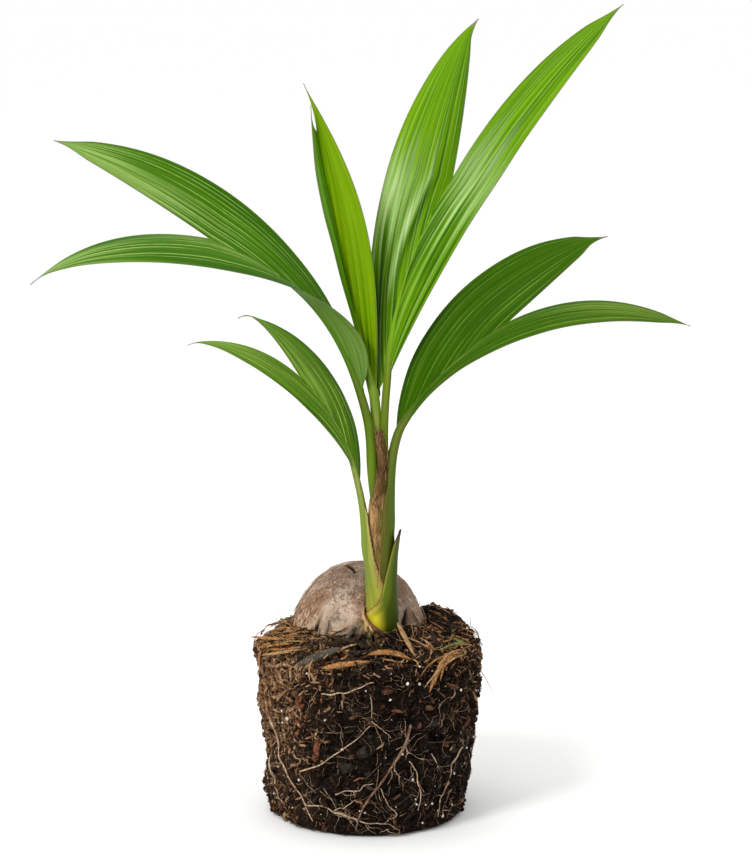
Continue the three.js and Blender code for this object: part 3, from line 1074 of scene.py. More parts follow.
def makeRoots():
    rng = seeded(roots)
    share = evenShares(roots["points"])
    count = len(roots["main"])
    widest = np.array([root[0] for root in roots["main"]])
    tones = np.array([root[1] for root in roots["main"]])
    lines = np.stack([evenly(np.array(root[2:], float), roots["points"]) for root in roots["main"]])
    lines = smoothPaths(lines, 5)
    bearings = np.radians(lines[:, :, 0])
    sway, close, shift = roots["sway"]
    heights = lines[:, :, 1] + sway * np.sin(share * close + widest[:, None] * shift)
    at, outward = soilPoint(bearings.ravel(), runAtHeight(heights.ravel()))
    outward = outward.reshape(count, -1, 3)
    half = widest[:, None] * lerp(1, 0.5, share) * (1 + rng.normal(0, roots["rough"], (count, len(share))))
    paths = smoothPaths(at.reshape(count, -1, 3) + outward * (half[:, :, None] * 0.8 + roots["rest"]), 6)
    pale = earthy("rootPale", (138, 110, 86), (184, 156, 128), (222, 203, 180), 90.0, 0.65, 0.4)
    brown = earthy("rootBrown", (84, 60, 47), (128, 96, 79), (172, 141, 121), 90.0, 0.7, 0.4)
    seatStrands("mainRoots", "soil", [pale, brown], tones, paths, half, outward, sides=8)

    # Rootlets that leave the main roots, then finer ones anywhere on the plug.
    pickRoot = np.repeat(np.arange(count), roots["branches"])
    branches = len(pickRoot)
    pickPoint = rng.integers(3, roots["points"] - 4, branches)
    bearing = bearings[pickRoot, pickPoint]
    height = heights[pickRoot, pickPoint]
    ahead = np.arctan2(heights[pickRoot, pickPoint + 2] - height,
                       (bearings[pickRoot, pickPoint + 2] - bearing) * soil["sideRadius"])
    heading = ahead + rng.choice((-1, 1), branches) * rng.uniform(*roots["branchTurn"], branches)
    thin = half[pickRoot, pickPoint] * rng.uniform(*roots["branchHalf"], branches)
    bearing = chained(bearing, anyTurn(rng, roots["hairs"]))
    height = chained(height, lerp(*roots["hairHeights"], rng.random(roots["hairs"]) ** 1.25))
    heading = chained(heading, anyTurn(rng, roots["hairs"]))
    thin = chained(thin, rng.uniform(*roots["hairHalf"], roots["hairs"]))
    length = chained(rng.uniform(*roots["branchLength"], branches),
                     rng.uniform(*roots["hairLength"], roots["hairs"]))
    share = evenShares(roots["branchPoints"])
    arch = rng.random((len(thin), 1)) * np.sin(share * math.pi)
    lift = thin[:, None] * 0.7 + roots["fineRest"] + arch
    paths, ups = wanderOnSoil(rng, bearing, runAtHeight(height), heading, length, len(share),
                              roots["wander"], lift)
    tones = (rng.random(len(thin)) < roots["brownShare"]).astype(int)
    halves = thin[:, None] * lerp(1, 0.4, share)
    seatStrands("rootlets", "soil", [pale, brown], tones, smoothPaths(paths, 2), halves, ups, sides=5)
    print("roots", count, "rootlets", len(thin))


makeRoots()


# Mulch of split husk and twigs on top of the plug

mulch = {
    # x and y of both ends, half width, bow, tone, how far the two ends are raised, tip to the front
    "placed": (
        (-118, 10, -78, -18, 2.0, 6, 0, 3, 3, 0.3),
        (-126, -30, -74, -62, 1.8, 4, 1, 2, 4, 0.4),
        (-112, -52, -70, -74, 2.4, -5, 0, 3, 3, 0.6),
        (58, -60, 74, -78, 2.2, 3, 1, 4, 3, 0.4),
        (92, -38, 114, -46, 2.4, 2, 2, 4, 3, 0.5),
        (-34, -96, -10, -82, 1.8, 3, 1, 3, 4, 0.5),
        (70, -80, 40, -66, 1.5, -4, 1, 3, 5, 0.3),
        (-30, -72, 0, -92, 3.6, 3, 3, 5, 3, 0.6),
        (96, -24, 84, -56, 2.4, 4, 0, 4, 3, 0.3),
        (104, -58, 84, -84, 2.6, 4, 0, 2, 3, 0.6),
    ),
    # middle, spread in x and y, heading and its spread, how many, lengths, half widths and share of bark
    "drifts": (
        (-98, -28, 24, 28, -25, 50, 90, 8, 36, 0.4, 1.8, 0.35),
        (88, -62, 20, 24, 62, 40, 60, 9, 30, 0.5, 1.9, 0.35),
        (-10, -100, 52, 13, 5, 60, 60, 7, 24, 0.5, 2.2, 0.8),
        (-60, -84, 30, 22, 30, 70, 60, 7, 22, 0.5, 2.0, 0.85),
        (50, -92, 30, 20, -20, 70, 60, 7, 22, 0.5, 2.0, 0.75),
        (12, -74, 36, 12, 0, 70, 30, 6, 18, 0.5, 2.0, 0.95),
        (96, 30, 20, 40, 80, 60, 60, 8, 30, 0.5, 1.8, 0.8),
        (-96, 50, 20, 36, 100, 60, 55, 8, 30, 0.5, 1.8, 0.4),
        (0, 116, 70, 10, 0, 60, 70, 8, 30, 0.5, 1.9, 0.45),
    ),
    # pieces bent towards the middle one of three points, with half width and tone: strips on top and over
    # the rim, stubs at the stem's foot and a thin root
    "bent": (
        ((-51, -119, 199), (-24, -119, 204), (3, -117, 206), 4.4, 0),
        ((0, -104, 210), (24, -100, 217), (47, -107, 206), 4.2, 0),
        ((33, -56, 234), (43, -78, 220), (52, -98, 207), 4.4, 1),
        ((105, -76, 205), (80, -112, 212), (68, -124, 172), 4.2, 0),
        ((104, -70, 207), (76, -112, 212), (74, -120, 180), 2.4, 1),
        ((108, -80, 204), (86, -110, 208), (62, -126, 178), 1.6, 1),
        ((98, -88, 205), (84, -108, 207), (80, -118, 184), 1.8, 0),
        ((92, -90, 206), (70, -112, 210), (58, -122, 190), 1.2, 0),
        ((-77, -106, 200), (-53, -100, 208), (-30, -92, 215), 7.0, 4),
        ((-133, -20, 208), (-97, -40, 211), (-62, -58, 211), 2.6, 0),
        ((-125, -50, 203), (-104, -56, 209), (-83, -60, 211), 2.0, 0),
        ((-119, -64, 199), (-98, -78, 205), (-75, -82, 210), 2.2, 1),
        ((80, -88, 211), (94, -76, 216), (111, -62, 213), 1.9, 2),
        ((3, -57, 228), (2, -71, 220), (0, -86, 212), 3.6, 5),
        ((8, -60, 226), (11, -74, 219), (15, -85, 213), 2.4, 5),
        ((5, -58, 230), (8, -66, 225), (9, -76, 217), 1.8, 6),
        ((0, -56, 231), (-1, -64, 224), (2, -72, 218), 1.6, 6),
        ((11, -60, 229), (15, -66, 225), (20, -72, 219), 1.4, 6),
        ((-12, -40, 226), (-20, -56, 222), (-29, -72, 214), 3.4, 4),
        ((-5, -49, 236), (-9, -54, 231), (-13, -61, 223), 2.4, 5),
        ((-60, -104, 204), (-66, -116, 205), (-64, -127, 186), 1.0, 1),
        ((123, -24, 175), (132, -23, 167), (142, -22, 143), 0.45, 1),
        ((-112, -44, 204), (-126, -50, 204), (-122, -54, 176), 1.4, 0),
        ((-120, 20, 204), (-134, 24, 204), (-132, 26, 174), 1.2, 0),
        ((60, 108, 204), (66, 122, 204), (66, 124, 170), 2.0, 0),
        ((-50, 112, 204), (-58, 126, 203), (-58, 126, 176), 1.6, 1),
        ((116, 40, 204), (130, 44, 204), (130, 46, 174), 1.8, 0),
    ),
    "outline": (0.25, 0.7, 0.95, 1.0, 0.9, 1.0, 0.85, 0.6, 0.15),
    "uneven": (0.85, 1.15),
    "thickness": 0.8,
    "reach": 127,                 # strips end this far from the middle at most
    "overRim": 124,               # and dip from here on
    "dip": 0.9,
    "rest": 1.2,
    "gather": 0.6,                # how closely they keep to the middle of their drift
    "tones": (0.62, 0.35, 0.03),  # shares of orange, pale and green where they aren't bark
    "bows": (-4, 4),
    "raised": ((0.5, 6), (0.5, 5)),
    "tips": (-0.3, 0.9),
    "seed": 61,
}
# Twigs that stand in the mulch and sprigs at the rim: how many, how far from the middle, and lengths
twigs = {
    "inside": (46, (72, 118), (8, 24)),
    "atRim": (34, (112, 127), (7, 17)),
    "half": (0.25, 0.6),
    "rooted": 1,
    "lean": 0.8,
    "rise": (0.7, 0.25),  # how much of the lean is upwards, and the least of it
    "outward": 0.5,       # how far sprigs at the rim lean out
    "bend": 0.18,
    "points": 6,
}


def makeMulch():
    rng = seeded(mulch)
    rows = [list(strip) for strip in mulch["placed"]]
    for x, y, wideX, wideY, heading, turn, count, short, long, thin, broad, dark in mulch["drifts"]:
        for i in range(count):
            start = np.array([rng.normal(x, wideX * mulch["gather"]), rng.normal(y, wideY * mulch["gather"])])
            angle = math.radians(rng.normal(heading, turn))
            length = lerp(short, long, rng.random() ** 1.5)
            ends = np.stack([start, start + length * np.array([math.cos(angle), math.sin(angle)])])
            ends = ends * np.minimum(1, mulch["reach"] / np.linalg.norm(ends, axis=1))[:, None]
            tone = 3 if rng.random() < dark else rng.choice(3, p=mulch["tones"])
            half = lerp(thin, broad, rng.random() ** 2)
            rows.append([*ends.ravel(), half, rng.uniform(*mulch["bows"]), tone,
                         *(rng.uniform(*span) for span in mulch["raised"]), rng.uniform(*mulch["tips"])])
    rows = np.array(rows)
    outline = np.array(mulch["outline"])
    share = evenShares(len(outline))
    start, stop = rows[:, 0:2], rows[:, 2:4]
    line = lerp(start[:, None], stop[:, None], share[None, :, None])
    sideways = np.stack([start[:, 1] - stop[:, 1], stop[:, 0] - start[:, 0]], axis=1)
    line = line + unit(sideways)[:, None] * (rows[:, 5, None] * np.sin(share * math.pi))[:, :, None]
    height = topHeight(line[:, :, 0], line[:, :, 1])
    raised = lerp(rows[:, 7, None], rows[:, 8, None], share) + mulch["rest"]
    over = np.maximum(np.hypot(line[:, :, 0], line[:, :, 1]) - mulch["overRim"], 0) * mulch["dip"]
    paths = np.concatenate([line, (height + raised - over)[:, :, None]], axis=2)
    halves = rows[:, 4, None] * outline * rng.uniform(*mulch["uneven"], (len(rows), len(outline)))
    ups = np.zeros_like(paths) + np.array([0, 0, 1.0]) + rng.normal(0, 0.2, (len(rows), 1, 3))
    ups[:, :, 1] = ups[:, :, 1] - rows[:, 9, None]
    free = clearOfStem(paths)
    free[:len(mulch["placed"])] = True
    paths, halves, ups, rows = paths[free], halves[free], ups[free], rows[free]

    bent = np.stack([evenly(bezier(strip[:3]), len(outline)) for strip in mulch["bent"]])
    bentHalf, bentTones = np.array([strip[3:] for strip in mulch["bent"]]).T
    bentUps = np.concatenate([bent[:, :, :2] * 0.01, np.full(bent.shape[:2] + (1,), 0.55)], axis=2)
    bentHalves = bentHalf[:, None] * outline * rng.uniform(*mulch["uneven"], (len(bent), len(outline)))
    widest = chained(rows[:, 4], bentHalf)
    straw = earthy("strawOrange", (104, 66, 34), (152, 104, 60), (196, 152, 102), 110.0, 0.75)
    pale = earthy("strawPale", (124, 90, 56), (164, 128, 86), (198, 168, 126), 110.0, 0.75)
    green = earthy("stubGreen", (72, 80, 36), (104, 110, 58), (142, 140, 92), 90.0, 0.7)
    bark = earthy("mulchBark", (30, 23, 18), (52, 41, 32), (80, 65, 52), 90.0, 0.85)
    grey = earthy("mulchGrey", (52, 46, 40), (84, 76, 66), (118, 108, 94), 90.0, 0.85)
    stub = earthy("stubPale", (76, 70, 36), (98, 90, 48), (132, 122, 76), 40.0, 0.7, 0.3)
    rust = earthy("stubRust", (58, 32, 18), (100, 60, 38), (146, 98, 68), 90.0)
    seatStrands("mulchStraw", "soil", [straw, pale, green, bark, grey, stub, rust],
                chained(rows[:, 6], bentTones), chained(paths, bent),
                chained(halves, bentHalves), unit(chained(ups, bentUps)),
                mulch["thickness"] / np.maximum(widest, mulch["thickness"]))

    # Thin twigs that stand out of the mulch and over the rim.
    inside, insideAway, insideLength = twigs["inside"]
    atRim, rimAway, rimLength = twigs["atRim"]
    count = inside + atRim
    onRim = np.arange(count) >= inside
    away = np.where(onRim, rng.uniform(*rimAway, count), rng.uniform(*insideAway, count))
    outward = levelAt(anyTurn(rng, count))
    base = away[:, None] * outward
    base[:, 2] = topHeight(base[:, 0], base[:, 1]) - twigs["rooted"]
    lean = rng.normal(0, twigs["lean"], (count, 3))
    upwards, least = twigs["rise"]
    lean[:, 2] = np.abs(lean[:, 2]) * upwards + least
    lean = unit(lean + outward * np.where(onRim, twigs["outward"], 0)[:, None])
    length = np.where(onRim, rng.uniform(*rimLength, count), rng.uniform(*insideLength, count))
    share = evenShares(twigs["points"])
    bend = rng.normal(0, twigs["bend"], (count, 3))
    curved = lean[:, None] * share[:, None] + bend[:, None] * (share ** 2)[:, None]
    half = rng.uniform(*twigs["half"], (count, 1)) * lerp(1, 0.4, share)
    paths = base[:, None] + curved * length[:, None, None]
    tones = rng.choice(2, count, p=(0.35, 0.65))
    ups = np.zeros_like(paths) + (0.3, 0.9, 0.2)
    seatStrands("mulchTwigs", "soil", [pale, bark], tones, paths, half, ups)
    print("mulch", len(rows), "strips", count, "twigs")


makeMulch()


# Seed nut with its fibrous husk

nut = {
    "centre": (-12, 32, 194),
    "half": (78, 82, 88),
    "ridge": 0.025,
    "turn": 0.5,
    "around": 260,
    "rings": 170,
    "fibre": 0.5,            # height of the fibres' relief
    "fibreGrain": (60, 14),  # how finely it is cut round the nut and up it
    "fibreSize": 1.25,
    "plainPoles": 0.35,      # angle over which the relief fades out towards the poles
    "dents": ((34, 1.6), (9, 0.5)),
    # Splits are painted near-black where they open: painted shade in the cracks
    # splits in the husk: both ends, half width at each and depth
    "splits": (
        ((-27, 32, 281), (-21, 21, 281), 1.6, 2.2, 4.5),
        ((-21, 21, 281), (-15, 7, 277), 2.2, 1.4, 4.5),
        ((-51, -25, 240), (-60, -30, 216), 1.0, 3.2, 4.5),
        ((-64, -22, 226), (-63, -28, 208), 1.0, 3.0, 4.5),
        ((45, -9, 238), (41, -20, 224), 1.0, 3.2, 4.5),
        ((24, 100, 244), (36, 104, 214), 1.0, 2.4, 3.5),
    ),
    "seed": 71,
}


# Points on the nut and the directions out of it, at turns and heights in radians
def onNut(turn, up, lift=0.0):
    ridge = 1 + nut["ridge"] * np.cos(3 * turn + nut["turn"])
    level = np.cos(up)
    centre, half = np.array(nut["centre"]), np.array(nut["half"])
    reach = np.stack([np.cos(turn) * level * ridge, np.sin(turn) * level * ridge, np.sin(up)], axis=-1) * half
    outward = unit(reach / half ** 2)
    return centre + reach + outward * np.asarray(lift)[..., None], outward


def makeNut():
    piece = newGrid("seedNut", nut["around"], nut["rings"])
    turn, up = gridShares(piece)
    turn = turn * 2 * math.pi
    up = (up - 0.5) * math.pi
    at, outward = onNut(turn, up)
    fine, tall = nut["fibreGrain"]
    ring = np.stack([np.cos(turn) * fine, np.sin(turn) * fine, up * tall], axis=1)
    fibre = softNoise(ring, nut["fibreSize"], nut["seed"]) * nut["fibre"]
    relief = fibre * ease(math.pi / 2 - np.abs(up), 0.0, nut["plainPoles"])
    for i, (size, deep) in enumerate(nut["dents"]):
        relief = relief + softNoise(at, size, nut["seed"] + 1 + i) * deep
    split = np.zeros(len(at))
    for first, last, thin, broad, deep in nut["splits"]:
        reach = np.array(last, float) - first
        share = np.clip((at - first) @ reach / (reach @ reach), 0, 1)
        off = np.linalg.norm(at - first - share[:, None] * reach, axis=1)
        split = np.maximum(split, deep * bell(off, 0, lerp(thin, broad, share)))
    placeCorners(piece, at + outward * (relief - split)[:, None])
    keepValue(piece, "split", np.clip(split / 1.8, 0, 1))
    weld(piece)
    return piece


# Share of a tone round one spot of a surface, with its border broken up. Distances are in metres.
def nearSpot(at, spot, ragged, inner, outer, share):
    node = nodeBy(at, "VectorMath")
    node.operation = "DISTANCE"
    feed(node.inputs[0], at)
    feed(node.inputs[1], spot)
    return ranged(plus(node.outputs["Value"], ragged), inner, outer, share, 0.0)


def huskMaterial():
    material, tree, shader = newMaterial("nutHusk", 0.8, specular=0.1)
    marks = useGroup(tree, mottle, Scale=38.0, Stretch=(1.0, 1.0, 0.7))
    fibres = useGroup(tree, mottle, Scale=150.0, Stretch=(1.0, 1.0, 0.12))
    at = coordinate(tree, "Object")
    axes = axesOf(at)
    x, z = axes["X"], axes["Z"]
    patches = noiseAt(at, 16.0, 4.0)
    blots = noiseAt(at, 70.0, 4.0, 0.6)
    flecks = noiseAt(at, 130.0, 5.0, 0.62)
    ragged = times(patches, 0.03)

    # Fine slanting ribs on the pale patch
    slant = plus(times(x, 2100.0), times(z, 2500.0))
    wave = calc("SINE", plus(slant, times(patches, 14.0)))
    ribbed = nearSpot(at, (-0.042, -0.037, 0.228), ragged, 0.022, 0.036, 0.9)
    hatch = times(ranged(wave, -0.2, 0.9), ribbed)

    # Bare strands low on the left, specks on the crown and cracks over the upper half
    torn = times(ranged(x, -0.045, -0.075), ranged(z, 0.26, 0.225))
    strands = noiseAt(stretched(at, (1.0, 1.0, 0.14)), 330.0, 3.0, 0.6)
    crown = times(ranged(z, 0.235, 0.262), ranged(patches, 0.6, 0.42, 0.15, 0.9))
    specks = ranged(noiseAt(at, 640.0, 3.0, 0.6), 0.52, 0.6, 0.0, 0.9)
    upper = times(ranged(z, 0.225, 0.255), ranged(patches, 0.36, 0.5, 0.3, 1.0))
    cracks = ranged(noiseAt(at, 310.0, 4.0, 0.66), 0.53, 0.6, 0.0, 0.75)

    colour = mixed(ranged(patches, 0.38, 0.62), tint(124, 104, 88), tint(180, 162, 144))
    colour = layered(
        colour,
        (ranged(blots, 0.47, 0.6, 0.0, 0.55), (122, 88, 64)),
        (ranged(x, -0.035, -0.08, 0.0, 0.55), (142, 104, 74)),
        (nearSpot(at, (-0.012, -0.034, 0.244), ragged, 0.018, 0.04, 0.5), (172, 128, 108)),
        (nearSpot(at, (-0.058, -0.018, 0.252), ragged, 0.02, 0.045, 0.6), (130, 94, 68)),
        (nearSpot(at, (-0.034, -0.035, 0.238), ragged, 0.032, 0.043, 0.7), (194, 174, 153)),
        (hatch, (104, 82, 66)),
        (ranged(flecks, 0.52, 0.63, 0.0, 0.6), (88, 66, 54)),
        (ranged(flecks, 0.46, 0.36, 0.0, 0.45), (204, 178, 148)),
        (times(torn, ranged(strands, 0.5, 0.58, 0.0, 0.95)), (84, 52, 34)),
        (times(torn, ranged(strands, 0.47, 0.38, 0.0, 0.8)), (212, 178, 140)),
        (times(specks, crown), (70, 50, 40)),
        (times(cracks, upper), (86, 62, 47)),
        # Painted shade in the splits of the husk
        (attributeOf(tree, "split"), (22, 16, 12)),
    )
    height = calc("SUBTRACT", plus(fibres["Height"], marks["Height"]), hatch)
    paint(shader, colour, height, 0.5, 0.8)
    return material


seedNut = makeNut()
addFinish(seedNut, [huskMaterial()])
seat(seedNut, "husk", "seed_nut")
print("seed nut", len(seedNut.data.polygons), "faces")


# Loose fibres on the husk, and torn flaps where it meets the soil

huskRadius = 85                       # about the nut's own, to turn lengths into angles
huskFibres = {
    "count": 420,
    "points": 7,
    "heights": (0.1, 1.25),
    "length": (5, 20),
    "half": (0.1, 0.26),
    "lean": 0.22,
    "lift": 1.2,
    "rest": 0.25,
    "seed": 73,
}
huskFlaps = {
    # turn and height where each starts, length, half width, how it leans and how far it lifts
    "placed": (
        (-135, 0.28, 30, 3.4, -4, 4),
        (-152, 0.26, 26, 3.0, 4, 3),
        (-30, 0.24, 22, 3.4, 4, 3),
        (-18, 0.22, 26, 2.8, -6, 4),
    ),
    "more": 34,
    # what these are drawn from, in the same order
    "spans": ((-180, 180), (0.16, 0.48), (10, 26), (0.8, 2.2), (-10, 10), (0.5, 5)),
    # the torn edge over the soil, as turns and heights
    "lip": ((-88, 0.46), (-103, 0.34), (-115, 0.25), (-129, 0.19)),
    "lipHalf": 1.7,
    "lipRest": (2.4, 1.2, 7),  # how far it stands off the husk, and the height and closeness of its waves
    "rest": 0.8,
    "outline": (0.2, 0.6, 0.85, 1, 1, 0.95, 0.8, 0.55, 0.15),
    "thickness": 0.9,
    "seed": 79,
}


def makeHuskFibres():
    rng = seeded(huskFibres)
    count = huskFibres["count"]
    share = evenShares(huskFibres["points"])
    arch = np.sin(share * math.pi)
    turn = anyTurn(rng, count)
    up = rng.uniform(*huskFibres["heights"], count)
    length = rng.uniform(*huskFibres["length"], count) / huskRadius
    lean = rng.normal(0, huskFibres["lean"], count)
    ups = up[:, None] - length[:, None] * share
    turns = turn[:, None] + (lean * length)[:, None] * share / np.maximum(np.cos(up), 0.3)[:, None]
    lift = huskFibres["rest"] + rng.uniform(0, huskFibres["lift"], (count, 1)) ** 2 * arch
    paths, outward = onNut(turns, ups, lift)
    half = lerp(*huskFibres["half"], rng.random((count, 1)) ** 2) * lerp(0.4, 1, arch)
    tan = earthy("huskTan", (146, 112, 82), (176, 146, 116), (204, 178, 150))
    grey = earthy("huskGrey", (112, 96, 82), (142, 124, 108), (168, 152, 136))
    brown = earthy("huskBrown", (96, 62, 42), (128, 88, 62), (156, 116, 86))
    tones = rng.choice(3, count, p=(0.4, 0.35, 0.25))
    seatStrands("huskFibres", "husk", [tan, grey, brown], tones, paths, half, outward)

    rows = [list(flap) for flap in huskFlaps["placed"]]
    rng = seeded(huskFlaps)
    for i in range(huskFlaps["more"]):
        rows.append([rng.uniform(*span) for span in huskFlaps["spans"]])
    turn, up, length, half, lean, lift = np.array(rows).T[:, :, None]
    outline = np.array(huskFlaps["outline"])
    share = evenShares(len(outline))
    ups = up - length / huskRadius * share
    paths, outward = onNut(np.radians(turn + lean * share), ups, huskFlaps["rest"] + lift * share ** 2)
    halves = half * outline * rng.uniform(0.85, 1.15, (len(rows), len(outline)))
    lipScale = (1, math.degrees(1))
    lip = evenly(np.array(huskFlaps["lip"]) * lipScale, len(outline)) / lipScale
    off, wave, close = huskFlaps["lipRest"]
    lipPath, lipOut = onNut(np.radians(lip[:, 0]), lip[:, 1], off + wave * np.sin(share * close))
    paths = chained(paths, lipPath[None])
    outward = chained(outward, lipOut[None] + np.array([0, 0, 0.5]))
    halves = chained(halves, huskFlaps["lipHalf"] * outline[None])
    tones = rng.choice(3, len(paths))
    tones[-1] = 0
    seatStrands("huskFlaps", "husk", [tan, grey, brown], tones, paths, halves, outward,
                huskFlaps["thickness"] / np.maximum(halves.max(axis=1), huskFlaps["thickness"]))
    print("husk fibres", count, "flaps", len(rows))


makeHuskFibres()


# Stem of nested leaf bases

stem = {
    "foot": (17, -41, 206),
    "bend": (12, -39, 330),
    "top": (10, -34, 442),
    "footRadius": 15,
    "swellRadius": 17.4,
    "swellAt": 0.16,
    "topRadius": 11,
    "slimFrom": 0.5,  # the core alone slims from here on
    "slimTo": 0.35,
    "flatten": 0.92,
    "ribs": ((9, 2, 0.012), (17, 0, 0.01)),  # how many go round, where they start and how high they are
    "steps": 120,
    "sides": 64,
}
stemLine = bezier([stem["foot"], stem["bend"], stem["top"]])


def stemRadius(share):
    foot = lerp(stem["footRadius"], stem["swellRadius"], ease(share, 0, stem["swellAt"]))
    return lerp(foot, stem["topRadius"], ease(share, stem["swellAt"], 1) * 0.6 + share * 0.4)


def stemCentre(height):
    return np.stack([np.interp(height, stemLine[:, 2], stemLine[:, i]) for i in (0, 1)], axis=-1)


def stemShare(height):
    return np.clip((height - stem["foot"][2]) / (stem["top"][2] - stem["foot"][2]), 0, 1)


# A run of tones over a value. Stops are (place, colour) pairs.
def toneLine(value, stops):
    node = nodeBy(value, "ValToRGB")
    ramp = node.color_ramp
    while len(ramp.elements) < len(stops):
        ramp.elements.new(0.5)
    for element, (place, colour) in zip(ramp.elements, stops):
        element.position = place
        element.color = tint(*colour)
    feed(node.inputs[0], value)
    return node.outputs[0]


# Streaked, with its own tones across and another at its foot. Its right margin may be stained.
def sheathMaterial(name, across, foot, footShare, lines=30.0, roughness=0.45, dark=(60, 80, 14), stained=0.0):
    material, tree, shader = newMaterial(name, roughness, specular=0.15)
    marks = useGroup(tree, streaks, Lines=lines, Run=2.5)
    grain = useGroup(tree, mottle, Scale=110.0)["Grain"]
    ragged = plus(marks["Across"], ranged(grain, 0.0, 1.0, -0.016, 0.016))
    margin = ranged(ragged, 0.85, 0.96, 0.0, stained)
    stain = times(margin, ranged(marks["Along"], 0.66, 0.48))
    low = plus(marks["Along"], times(marks["Broad"], 0.1))
    colour = layered(
        toneLine(ragged, across),
        (times(marks["Streak"], 0.4), dark),
        (times(stain, ranged(grain, 0.2, 0.6, 0.35, 1.0)), (118, 84, 40)),
        (ranged(low, footShare, 0.02, 0.0, 0.92), foot),
    )
    paint(shader, colour, marks["Streak"], 0.25, 0.35)
    return material


# The scale leaf is yellow low on the left, worn and torn along that margin and dry at its tip.
def scaleMaterial():
    material, tree, shader = newMaterial("scaleLeafGreen", 0.45, specular=0.06)
    marks = useGroup(tree, streaks, Lines=34.0, Run=3.0)
    grain = useGroup(tree, mottle, Scale=110.0)["Grain"]
    axes = axesOf(coordinate(tree, "Object"))
    across = ((0.0, (120, 96, 48)), (0.02, (146, 148, 64)), (0.06, (100, 118, 32)), (0.3, (62, 76, 6)),
              (0.7, (42, 56, 2)), (1.0, (62, 76, 20)))
    low = ranged(plus(axes["Z"], times(marks["Broad"], 0.008)), 0.266, 0.236)
    ragged = plus(marks["Across"], times(grain, 0.07))
    worn = ranged(ragged, 0.2, 0.08, 0.0, 0.75)
    torn = ranged(ragged, 0.085, 0.045)
    colour = layered(
        toneLine(marks["Across"], across),
        (times(marks["Streak"], 0.4), (46, 60, 4)),
        (times(low, ranged(axes["X"], 0.023, 0.007)), (206, 192, 48)),
        (times(worn, ranged(marks["Along"], 0.42, 0.3)), (190, 162, 84)),
        (times(torn, ranged(marks["Along"], 0.52, 0.42)), (116, 82, 38)),
        (ranged(marks["Along"], 0.88, 0.97), (54, 44, 32)),
    )
    paint(shader, colour, marks["Streak"], 0.25, 0.3)
    return material


# The dry sheath is tan below and dark brown above, with a darker notch where it narrows.
def dryMaterial():
    material, tree, shader = newMaterial("dryPaper", 0.72, specular=0.1)
    marks = useGroup(tree, streaks, Lines=26.0, Run=3.5)
    blots = useGroup(tree, mottle, Scale=80.0, Stretch=(1.0, 1.0, 0.4))
    across = ((0.0, (108, 116, 36)), (0.14, (174, 140, 86)), (0.38, (178, 136, 88)), (0.56, (130, 94, 62)),
              (0.72, (104, 92, 38)), (1.0, (86, 96, 22)))
    upper = ranged(plus(marks["Along"], times(blots["Grain"], 0.1)), 0.48, 0.66)
    notch = calc("ABSOLUTE", calc("SUBTRACT", marks["Along"], 0.73))
    colour = layered(
        toneLine(marks["Across"], across),
        (ranged(marks["Streak"], 0.35, 0.8, 0.0, 0.55), (80, 52, 26)),
        (ranged(blots["Patch"], 0.5, 1.0, 0.0, 0.5), (186, 146, 96)),
        (times(upper, 0.68), (66, 44, 16)),
        (ranged(notch, 0.07, 0.0, 0.0, 0.6), (44, 28, 14)),
        (ranged(marks["Along"], 0.32, 0.14, 0.0, 0.85), (104, 98, 32)),
    )
    paint(shader, colour, marks["Streak"], 0.5, 0.6)
    return material


def makeStem():
    def half(share):
        radius = stemRadius(share) * lerp(1, stem["slimTo"], ease(share, stem["slimFrom"], 1))
        return radius, radius * stem["flatten"]

    def ribbing(share, angle, across, out):
        return 1 + sum(high * np.sin(angle * many + start) for many, start, high in stem["ribs"])

    piece = rodPiece("stemCore", stemLine, stem["steps"], stem["sides"], (1, 0, 0), half, ribbing)
    tones = ((0.0, (84, 108, 30)), (0.35, (96, 128, 40)), (0.55, (128, 152, 60)), (0.7, (92, 122, 30)),
             (0.78, (104, 96, 44)))
    addFinish(piece, [sheathMaterial("stemGreen", tones, (190, 170, 70), 0.25)])
    seat(piece, "stem", "stem")


